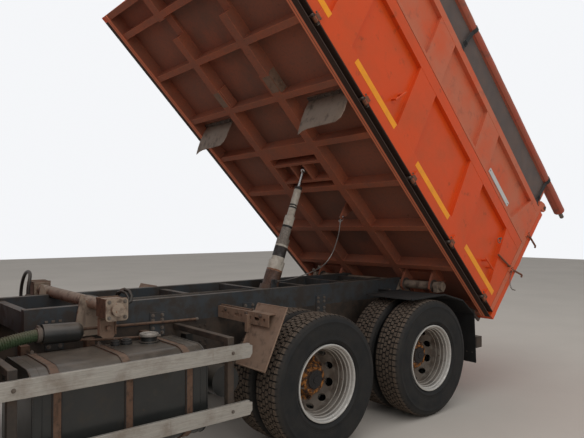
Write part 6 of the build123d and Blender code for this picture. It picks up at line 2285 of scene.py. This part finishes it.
@dataclass
class Flank:
    """Side guard, mud plate hems and mudguard fittings of one flank."""

    side: Side
    bar_tops: tuple[float, float] = (0.931, 0.544)
    bar_height: float = 0.100
    guard_y: float = 1.221
    posts: tuple[float, float] = (2.170, 3.520)

    def build(self) -> None:
        """Fit everything on this flank."""
        out = self.side.value
        self.guard(out)
        grooves = Draft()
        for z in self.bar_tops:
            for dz in (-0.026, -0.074):
                grooves.rod([at(2.040, out * 1.2205, z + dz), at(3.636, out * 1.2205, z + dz)], 0.0022, 6)
        grooves.fix(f"guard_ribs_{self.side.word}", "guard", ON_GUARD)
        spots = [at(x + 0.025, out * self.guard_y, z - 0.050) for x in self.posts for z in self.bar_tops]
        bolted(f"guard_bolts_{self.side.word}", spots, (0.010, 0.008), "y", ON_GUARD, sense=out)
        hems = Draft()
        top, foot = (1.711, 1.1345), (1.915, 0.705)
        for x, z in (top, foot):
            hems.rod([at(x, out * 0.848, z), at(x, out * 1.202, z)], 0.0065, 8)
        for y in (0.850, 1.200):
            hems.rod([at(top[0], out * y, top[1]), at(foot[0], out * y, foot[1])], 0.0065, 8)
        hems.fix(f"plate_hems_{self.side.word}", "plate", ON_PLATE)
        self.holed_bracket(out)
        self.mudflap(out)

    def guard(self, out: float) -> None:
        """The two aluminium bars with cut corners, and their dark posts and arms."""
        bars = Draft()
        low, high = sorted((out * 1.196, out * self.guard_y))
        for top in self.bar_tops:
            rear, front, foot = AXLE_X + 2.035, AXLE_X + 3.640, top - self.bar_height
            outline = [(rear + 0.020, foot), (front - 0.020, foot), (front, foot + 0.020),
                       (front, top - 0.020), (front - 0.020, top), (rear + 0.024, top),
                       (rear + 0.024, top - 0.016), (rear, top - 0.016), (rear, foot + 0.030)]
            bars.prism(outline, low, high)
        bars.fix(f"guard_bars_{self.side.word}", "guard", ON_GUARD, bevel=0.0025, replaces=("side_guards",))
        posts = Draft()
        for x in self.posts:
            low, high = sorted((out * 1.150, out * 1.196))
            posts.block(at(x, low, 0.440), at(x + 0.050, high, 0.983))
            low, high = sorted((out * 0.430, out * 1.150))
            posts.block(at(x + 0.002, low, 0.942), at(x + 0.048, high, 0.983))
        posts.fix(f"guard_posts_{self.side.word}", "rails", ON_GUARD, bevel=0.004, replaces=("side_guards",))

    def holed_bracket(self, out: float) -> None:
        """The angle across the mud plate's face, with round and long holes, that carries it from the rail."""
        draft = Draft()
        low, high = sorted((out * 0.432, out * 1.105))
        outline = [(1.801, 0.992), (1.807, 0.992), (1.807, 1.084), (1.741, 1.084), (1.741, 1.078),
                   (1.801, 1.078)]
        draft.prism([(AXLE_X + x, z) for x, z in outline], low, high)
        bits = Draft()
        for k, y in enumerate((0.50, 0.58, 0.70, 0.76, 0.88, 0.96, 1.05)):
            half = 0.020 if k in (2, 5) else 0.0001
            ring = rounded((out * y - 0.012 - half, 1.026), (out * y + 0.012 + half, 1.050), 0.0118, 4)
            bits.prism(ring, AXLE_X + 1.790, AXLE_X + 1.815, "x")
        made = draft.object(f"holed_bracket_{self.side.word}", SHOP["plate"])
        drilled(made, bits.object("bracket_bits", SHOP["plate"]))
        placed(made, *ON_PLATE)
        spots = [at(1.8065, out * y, 1.065) for y in (0.545, 0.830, 1.010)]
        bolted(f"bracket_studs_{self.side.word}", spots, (0.012, 0.012), "x", ON_PLATE, finish="steel")
        lip = Draft()
        lip.rod([at(1.7715, out * 0.434, 1.0885), at(1.7715, out * 0.860, 1.0885)], 0.0085, 8)
        lip.fix(f"bracket_rod_{self.side.word}", "strap", ON_PLATE)

    def mudflap(self, out: float) -> None:
        """Bolts along the rear mudguard's foot and beads along its edges."""
        spots = [at(-0.758, out * y, 0.470) for y in (0.700, 0.800, 0.900, 1.000, 1.100, 1.160)]
        bolted(f"rear_guard_bolts_{self.side.word}", spots, (0.009, 0.007), "x", ON_MUDGUARD, sense=-1.0)
        ribs = Draft()
        for y in (0.660, 1.190):
            ribs.rod([at(0.260, out * y, 1.078), at(-0.240, out * y, 1.086), at(-0.545, out * y, 1.007),
                      at(-0.742, out * y, 0.855), at(-0.770, out * y, 0.362)], 0.0065, 8)
        ribs.fix(f"guard_beads_{self.side.word}", "sheet", ON_MUDGUARD)


@dataclass
class Seat:
    """One driver's or passenger's seat: swelled cushion and back, headrest, and its pedestal."""

    side: Side
    across: float = 0.710
    lean: float = 7.0
    cap: float = 0.012
    voxel: float = 0.015
    pressure: float = 4.0
    frames: int = 12

    def build(self) -> None:
        """Sew both pads, fit the headrest and the pedestal."""
        y = self.side.value * self.across
        seat = Matrix.Translation(at(4.590, y, 1.598)) @ Matrix.Rotation(math.radians(-4), 4, "Y")
        back = Matrix.Translation(at(4.275, y, 1.890)) @ Matrix.Rotation(math.radians(90 - self.lean), 4, "Y")
        rest = Matrix.Translation(at(4.222, y, 2.115)) @ Matrix.Rotation(math.radians(90 - self.lean), 4, "Y")
        for word, place, size, channels, fill in (
            ("seat", seat, (0.220, 0.232, 0.066), (-0.42, 0.42), 0.7),
            ("back", back, (0.205, 0.228, 0.058), (-0.45, 0.45), 0.7),
            ("headrest", rest, (0.072, 0.130, 0.045), (), 0.8),
        ):
            pad = self.pad(f"{word}_pad_{self.side.word}", size, channels, place)
            placed(pad, "cab", "seat_cloth", ("seats",))
        self.pedestal(y)

    def pad(self, name: str, size: Point, channels: tuple[float, ...], place: Matrix) -> bpy.types.Object:
        """Swell a closed form by simulation, then press in the sewn channels.

        Args:
            name: The pad's name.
            size: Half sizes along, across and through.
            channels: Shares of the half width where channels run.
            place: Where the pad lies.

        Returns:
            The pad.
        """
        mesh = bmesh.new()
        bmesh.ops.create_cube(mesh, size=2.0)
        bmesh.ops.subdivide_edges(mesh, edges=mesh.edges, cuts=9, use_grid_fill=True)
        for vertex in mesh.verts:
            u, v, w = vertex.co
            soft = 1.0 - 0.045 * (u * u * v * v) - 0.03 * w * w
            pinch_u, pinch_v = 1.0 - 0.05 * (1 - v * v), 1.0 - 0.05 * (1 - u * u)
            crown = 1.0 - 0.22 * max(u * u, v * v) ** 2
            vertex.co = (u * size[0] * soft * pinch_u, v * size[1] * soft * pinch_v, w * size[2] * crown)
        draft = Draft()
        draft.mesh.free()
        draft.mesh = mesh
        made = draft.object(name, SHOP["cushion"], smooth=80)
        made = self.swell(made)
        for vertex in made.data.vertices:
            for channel in channels:
                off = abs(vertex.co.y - channel * size[1])
                facing = max(0.0, vertex.normal.z)
                depth = 0.007 * math.exp(-((off / 0.009) ** 2)) * facing
                edge = max(abs(vertex.co.x) / size[0] - 0.8, 0.0) * 5
                vertex.co.z -= depth * max(0.0, 1.0 - edge)
        made.data.transform(place)
        made.data.shade_smooth()
        return made

    def swell(self, form: bpy.types.Object) -> bpy.types.Object:
        """Blow the form up as cloth, each point held within the cap.

        Args:
            form: The form. It is removed.

        Returns:
            The swelled piece.
        """
        remesh = form.modifiers.new("even", "REMESH")
        remesh.mode = "VOXEL"
        remesh.voxel_size = self.voxel
        hardened(form)
        rest = [vertex.co.copy() for vertex in form.data.vertices]
        cloth = form.modifiers.new("swelled", "CLOTH")
        cloth.settings.use_pressure = True
        cloth.settings.uniform_pressure_force = self.pressure
        cloth.settings.effector_weights.gravity = 0.0
        cloth.settings.quality = 3
        cloth.point_cache.frame_start = 1
        cloth.point_cache.frame_end = self.frames
        for step in range(1, self.frames + 1):
            bpy.context.scene.frame_set(step)
        hardened(form)
        for vertex, before in zip(form.data.vertices, rest):
            moved = vertex.co - before
            if moved.length > self.cap:
                vertex.co = before + moved.normalized() * self.cap
        finer = form.modifiers.new("finer", "SUBSURF")
        finer.levels = finer.render_levels = 1
        return hardened(form)

    def pedestal(self, y: float) -> None:
        """The seat's moulded base with its skirt, the lever at its side and the headrest's posts."""
        draft = Draft()
        draft.prism(rounded((AXLE_X + 4.385, y - 0.185), (AXLE_X + 4.695, y + 0.185), 0.035), 1.226, 1.500,
                    "z")
        draft.prism(rounded((AXLE_X + 4.355, y - 0.205), (AXLE_X + 4.765, y + 0.205), 0.040), 1.488, 1.542,
                    "z")
        draft.rod([at(4.560, y + 0.190, 1.470), at(4.640, y + 0.228, 1.478), at(4.720, y + 0.232, 1.492)],
                  [0.008, 0.008, 0.011], 10)
        draft.rod([at(4.245, y - 0.070, 2.060), at(4.236, y - 0.070, 2.110)], 0.007, 8)
        draft.rod([at(4.245, y + 0.070, 2.060), at(4.236, y + 0.070, 2.110)], 0.007, 8)
        draft.fix(f"seat_base_{self.side.word}", "trim", ON_CAB, bevel=0.002, replaces=("seats",))


@dataclass
class CabTrim:
    """Window rubbers, wipers, grille mesh, lamps, steps and marker lights of the cab."""

    front: float = 5.650
    half: float = 1.245

    def build(self) -> None:
        """Fit everything on the cab and the front."""
        self.front_rubbers()
        self.wipers()
        self.grille_mesh()
        self.markers()
        self.front_plate()
        for side in Side:
            self.side_rubbers(side)
            self.mirror_glass(side)
            self.steps(side)
            self.head_lamp(side)

    def ahead(self, z: float) -> float:
        """The windscreen's station at a height."""
        return 5.600 - (z - 1.900) * 0.215 / 0.950

    def flank(self, z: float) -> float:
        """The cab's half width at a height."""
        return self.half - max(0.0, z - 1.850) * (self.half - 1.185) / 0.980

    def front_rubbers(self) -> None:
        """Rubber seals round the windscreen and the rear window."""
        draft = Draft()
        draft.rod([at(self.ahead(z), y, z) for y, z in rounded((-1.010, 1.930), (1.010, 2.760), 0.030, 4)],
                  0.0125, 8, loop=True)
        draft.rod([at(3.750, y, z) for y, z in rounded((-0.520, 2.050), (0.520, 2.620), 0.030, 4)],
                  0.0115, 8, loop=True)
        draft.fix("screen_rubber", "trim", ON_CAB)

    def wipers(self) -> None:
        """Two wipers parked along the windscreen's foot."""
        draft = Draft()
        for y, reach in ((0.330, 0.560), (-0.620, 0.560)):
            foot = at(self.ahead(1.905) + 0.004, y, 1.905)
            knee = at(self.ahead(1.960) + 0.030, y + reach * 0.35, 1.960)
            tip = at(self.ahead(1.985) + 0.018, y + reach * 0.72, 1.985)
            draft.rod([foot - Vector((0.020, 0, 0)), foot + Vector((0.022, 0, 0.004))], 0.014, 12)
            draft.rod([foot + Vector((0.018, 0, 0.002)), knee, tip], [0.008, 0.006, 0.0045], 8)
            for z, radius in ((1.985, 0.0045), (1.980, 0.003)):
                blade = [at(self.ahead(z) + 0.012, y + reach * share, z + 0.020 * (share - 0.5))
                         for share in (0.30, 0.5, 0.72, 0.9, 1.10)]
                draft.rod(blade, radius, 6)
        draft.fix("wipers", "trim", ON_CAB)

    def grille_mesh(self) -> None:
        """The dark mesh behind the grille's slats."""
        draft = Draft()
        x = AXLE_X + self.front
        draft.prism([(-0.699, 1.041), (0.699, 1.041), (0.699, 1.639), (-0.699, 1.639)], x - 0.001, x + 0.0015,
                    "x")
        for k in range(56):
            y = -0.69 + 1.38 * k / 55
            draft.rod([(x + 0.003, y, 1.043), (x + 0.003, y, 1.637)], 0.0022, 4)
        draft.fix("grille_mesh", "trim", ON_CAB)

    def markers(self) -> None:
        """Five marker lights on the roof's front edge."""
        base = Draft()
        lens = Draft()
        for y in (-0.950, -0.475, 0.0, 0.475, 0.950):
            outline = rounded((AXLE_X + 5.185, y - 0.048), (AXLE_X + 5.245, y + 0.048), 0.014)
            base.prism(outline, 2.9185, 2.927, "z")
            lens.lathe([(0.0, 0.034), (0.012, 0.0325), (0.021, 0.026), (0.025, 0.014), (0.026, 0.0)],
                       Vector((0, 0, 0)), 20, False)
            turn = upright(5.215, y, 2.926)
            for vertex in lens.mesh.verts:
                if vertex.tag:
                    continue
                vertex.co = turn @ vertex.co
                vertex.tag = True
        base.fix("marker_bases", "trim", ON_CAB, bevel=0.001)
        lens.fix("marker_lenses", "amber", ("cab", "lamp_lens"))

    def front_plate(self) -> None:
        """The blank number plate on the bumper."""
        x = AXLE_X + 5.850
        holder = Draft()
        holder.prism(rounded((-0.268, 0.482), (0.268, 0.612), 0.008), x - 0.001, x + 0.005, "x")
        holder.fix("front_plate_holder", "trim", ON_BUMPER, bevel=0.001)
        plate = Draft()
        plate.prism(rounded((-0.260, 0.490), (0.260, 0.604), 0.006), x + 0.004, x + 0.0075, "x")
        plate.fix("front_blank_plate", "white", ON_BUMPER)

    def side_rubbers(self, side: Side) -> None:
        """Rubber seals of the door window and the quarter window, and a grip on the door's handle."""
        out = side.value
        door = [(4.480, 1.960), (4.480, 2.690), (5.175, 2.690), (5.340, 1.960)]
        quarter = [(3.900, 1.960), (3.900, 2.690), (4.250, 2.690), (4.250, 1.960)]
        for word, outline, body in (("door", door, f"door_{side.word}"), ("quarter", quarter, "cab")):
            line = []
            for i, (x, z) in enumerate(outline):
                before, after = outline[i - 1], outline[(i + 1) % 4]
                for other, share in ((before, 0.06), (before, 0.015), (after, 0.015), (after, 0.06)):
                    u, v = x + (other[0] - x) * share, z + (other[1] - z) * share
                    line.append(at(u, out * self.flank(v), v))
            draft = Draft()
            draft.rod(line, 0.0105, 8, loop=True)
            draft.fix(f"{word}_rubber_{side.word}", "trim", (body, "trim_black"))
        grip = Draft()
        path = [at(4.452, out * 1.258, 1.715), at(4.470, out * 1.277, 1.715), at(4.590, out * 1.277, 1.715),
                at(4.608, out * 1.258, 1.715)]
        grip.rod(path, [0.012, 0.010, 0.010, 0.012], 10)
        low, high = sorted((out * 1.2435, out * 1.2475))
        grip.prism(rounded((AXLE_X + 4.440, 1.665), (AXLE_X + 4.620, 1.765), 0.02), low, high)
        grip.fix(f"door_grip_{side.word}", "trim", (f"door_{side.word}", "trim_black"), bevel=0.001)

    def mirror_glass(self, side: Side) -> None:
        """The mirror's glass in its rim."""
        out = side.value
        low, high = sorted((out * 1.340, out * 1.490))
        x = AXLE_X + 5.500
        glass = Draft()
        glass.prism(rounded((low, 1.990), (high, 2.410), 0.020), x - 0.0025, x + 0.001, "x")
        glass.fix(f"mirror_glass_{side.word}", "mirror", ON_CAB)
        rim = Draft()
        rim.rod([(x - 0.002, y, z) for y, z in rounded((low, 1.990), (high, 2.410), 0.020)], 0.005, 8,
                loop=True)
        rim.fix(f"mirror_rim_{side.word}", "trim", ON_CAB)

    def steps(self, side: Side) -> None:
        """Raised treads on both steps and a grab rail beside the door."""
        out = side.value
        draft = Draft()
        for z in (0.430, 0.790):
            for k in range(9):
                x = 5.180 + 0.028 * k
                low, high = sorted((out * 1.020, out * 1.228))
                draft.prism([(AXLE_X + x, z), (AXLE_X + x + 0.010, z), (AXLE_X + x + 0.008, z + 0.006),
                             (AXLE_X + x + 0.002, z + 0.006)], low, high)
        draft.fix(f"step_treads_{side.word}", "zinc", ON_MUDGUARD)
        rail = Draft()
        rail.rod([at(4.345, out * 1.240, 1.400), at(4.345, out * 1.280, 1.412), at(4.345, out * 1.284, 1.440),
                  at(4.345, out * 1.284, 2.000), at(4.345, out * 1.276, 2.030),
                  at(4.345, out * 1.235, 2.040)],
                 0.0125, 12)
        rail.fix(f"grab_rail_{side.word}", "trim", ON_CAB)

    def head_lamp(self, side: Side) -> None:
        """A head lamp: dark housing, two bright bowls with bulbs, and a ribbed clear lens."""
        out = side.value
        low, high = sorted((out * 0.823, out * 1.087))
        x = AXLE_X + 5.790
        housing = Draft()
        housing.prism(rounded((low, 0.603), (high, 0.757), 0.02), x, x + 0.022, "x")
        housing.fix(f"head_lamp_{side.word}", "trim", LAMP, replaces=("lamps",))
        bowls = Draft()
        for y in (0.895, 1.015):
            profile = [(0.050, 0.0), (0.056, 0.004), (0.058, 0.022), (0.054, 0.022), (0.046, 0.010),
                       (0.020, 0.003), (0.0, 0.002)]
            start = len(bowls.mesh.verts)
            bowls.lathe(profile, Vector((0, 0, 0)), 28, False)
            turn = Matrix.Translation((x + 0.022, out * y, 0.680)) @ Matrix.Rotation(math.radians(-90), 4,
                                                                                     "Z")
            bowls.mesh.verts.ensure_lookup_table()
            for vertex in bowls.mesh.verts[start:]:
                vertex.co = turn @ vertex.co
            bowls.rod([(x + 0.022, out * y, 0.680), (x + 0.036, out * y, 0.680)], 0.010, 10)
        bowls.fix(f"lamp_bowls_{side.word}", "mirror", LAMP)
        lens = Draft()
        lens.prism(rounded((low, 0.603), (high, 0.757), 0.02), x + 0.050, x + 0.055, "x")
        for k in range(14):
            y = low + (high - low) * (k + 0.5) / 14
            lens.rod([(x + 0.0555, y, 0.615), (x + 0.0555, y, 0.745)], 0.0025, 6)
        rim = [Vector((x + 0.045, y, z))
               for y, z in rounded((low + 0.002, 0.605), (high - 0.002, 0.755), 0.02)]
        lens.rod(rim, 0.0045, 6, loop=True)
        lens.fix(f"lamp_lens_{side.word}", "clear_lens", LAMP)


class Studio:
    """The pale floor, the soft light and the camera at the photograph's place."""

    eye: Point = (4.323, 4.342, 1.709)
    yaw: float = -130.237
    pitch: float = 1.016
    lens: float = 34.635
    floor_size: float = 60.0
    sensor: float = 36.0
    aim: Vector = Vector((0, 0, 1.5))

    def lay_floor(self) -> None:
        """A plain pale floor."""
        mesh = bpy.data.meshes.new("floor")
        half = self.floor_size / 2
        mesh.from_pydata([(-half, -half, 0), (half, -half, 0), (half, half, 0), (-half, half, 0)], [],
                         [(0, 1, 2, 3)])
        floor = linked("floor", mesh)
        coat = Coat("floor_pale")
        cloud = coat.blotch(0.5, 0.5, 0.3)
        coat.set(Base_Color=coat.tree.mixed(cloud, (0.58, 0.53, 0.47), (0.52, 0.475, 0.42)), Roughness=0.9)
        mesh.materials.append(coat.material)

    def hang_lights(self) -> None:
        """An even pale sky and two wide soft lights."""
        world = bpy.data.worlds.new("studio")
        world.use_nodes = True
        tree = Tree(world.node_tree)
        seen = tree.node("ShaderNodeLightPath").outputs["Is Camera Ray"]
        sky = tree.node("ShaderNodeBackground", Color=(0.83, 0.84, 0.86),
                        Strength=tree.ramp(seen, 0.0, 1.0, 0.52, 1.10))
        tree.node("ShaderNodeOutputWorld", Surface=sky)
        bpy.context.scene.world = world
        for name, place, size, power in (
            ("sky_light", (1.0, 3.0, 12.0), 14.0, 620.0), ("side_light", (3.0, 14.0, 6.0), 9.0, 330.0),
        ):
            lamp = bpy.data.lights.new(name, "AREA")
            lamp.size = size
            lamp.energy = power
            holder = linked(name, lamp)
            holder.location = place
            holder.rotation_euler = (self.aim - Vector(place)).to_track_quat("-Z", "Y").to_euler()

    def place_camera(self) -> None:
        """The camera that took the photograph."""
        data = bpy.data.cameras.new("camera")
        data.lens = self.lens
        data.sensor_width = self.sensor
        camera = linked("camera", data)
        yaw, pitch = math.radians(self.yaw), math.radians(self.pitch)
        ahead = Vector((math.cos(pitch) * math.cos(yaw), math.cos(pitch) * math.sin(yaw), math.sin(pitch)))
        camera.location = at(*self.eye)
        camera.rotation_euler = ahead.to_track_quat("-Z", "Y").to_euler()
        bpy.context.scene.camera = camera
        bpy.context.scene.view_settings.view_transform = "Standard"


def main() -> None:
    """Place the camera, lay the cords, dress the frame and build every sub-assembly and the studio."""
    logging.basicConfig(level=logging.INFO, format="%(message)s")
    studio = Studio()
    studio.place_camera()
    for cord in (StopRope(), IntakeHose(), OilHose()):
        cord.build()
    dress_frame()
    for part in (Cover(), BedUnderside(), TailEnd(), FrameHardware(), FuelTank(), CabTrim()):
        part.build()
    for side in Side:
        for part in (BedSide(side), Flank(side), Seat(side)):
            part.build()
    rims = TwinRims()
    for axle, rim, tyre in WHEEL_PLACES:
        for side in Side:
            Tyres(axle, tyre, side).build()
            Hub(axle, rim, side).build()
            if axle != "front":
                rims.fit(axle, side)
    studio.lay_floor()
    studio.hang_lights()


if __name__ == "__main__":
    main()
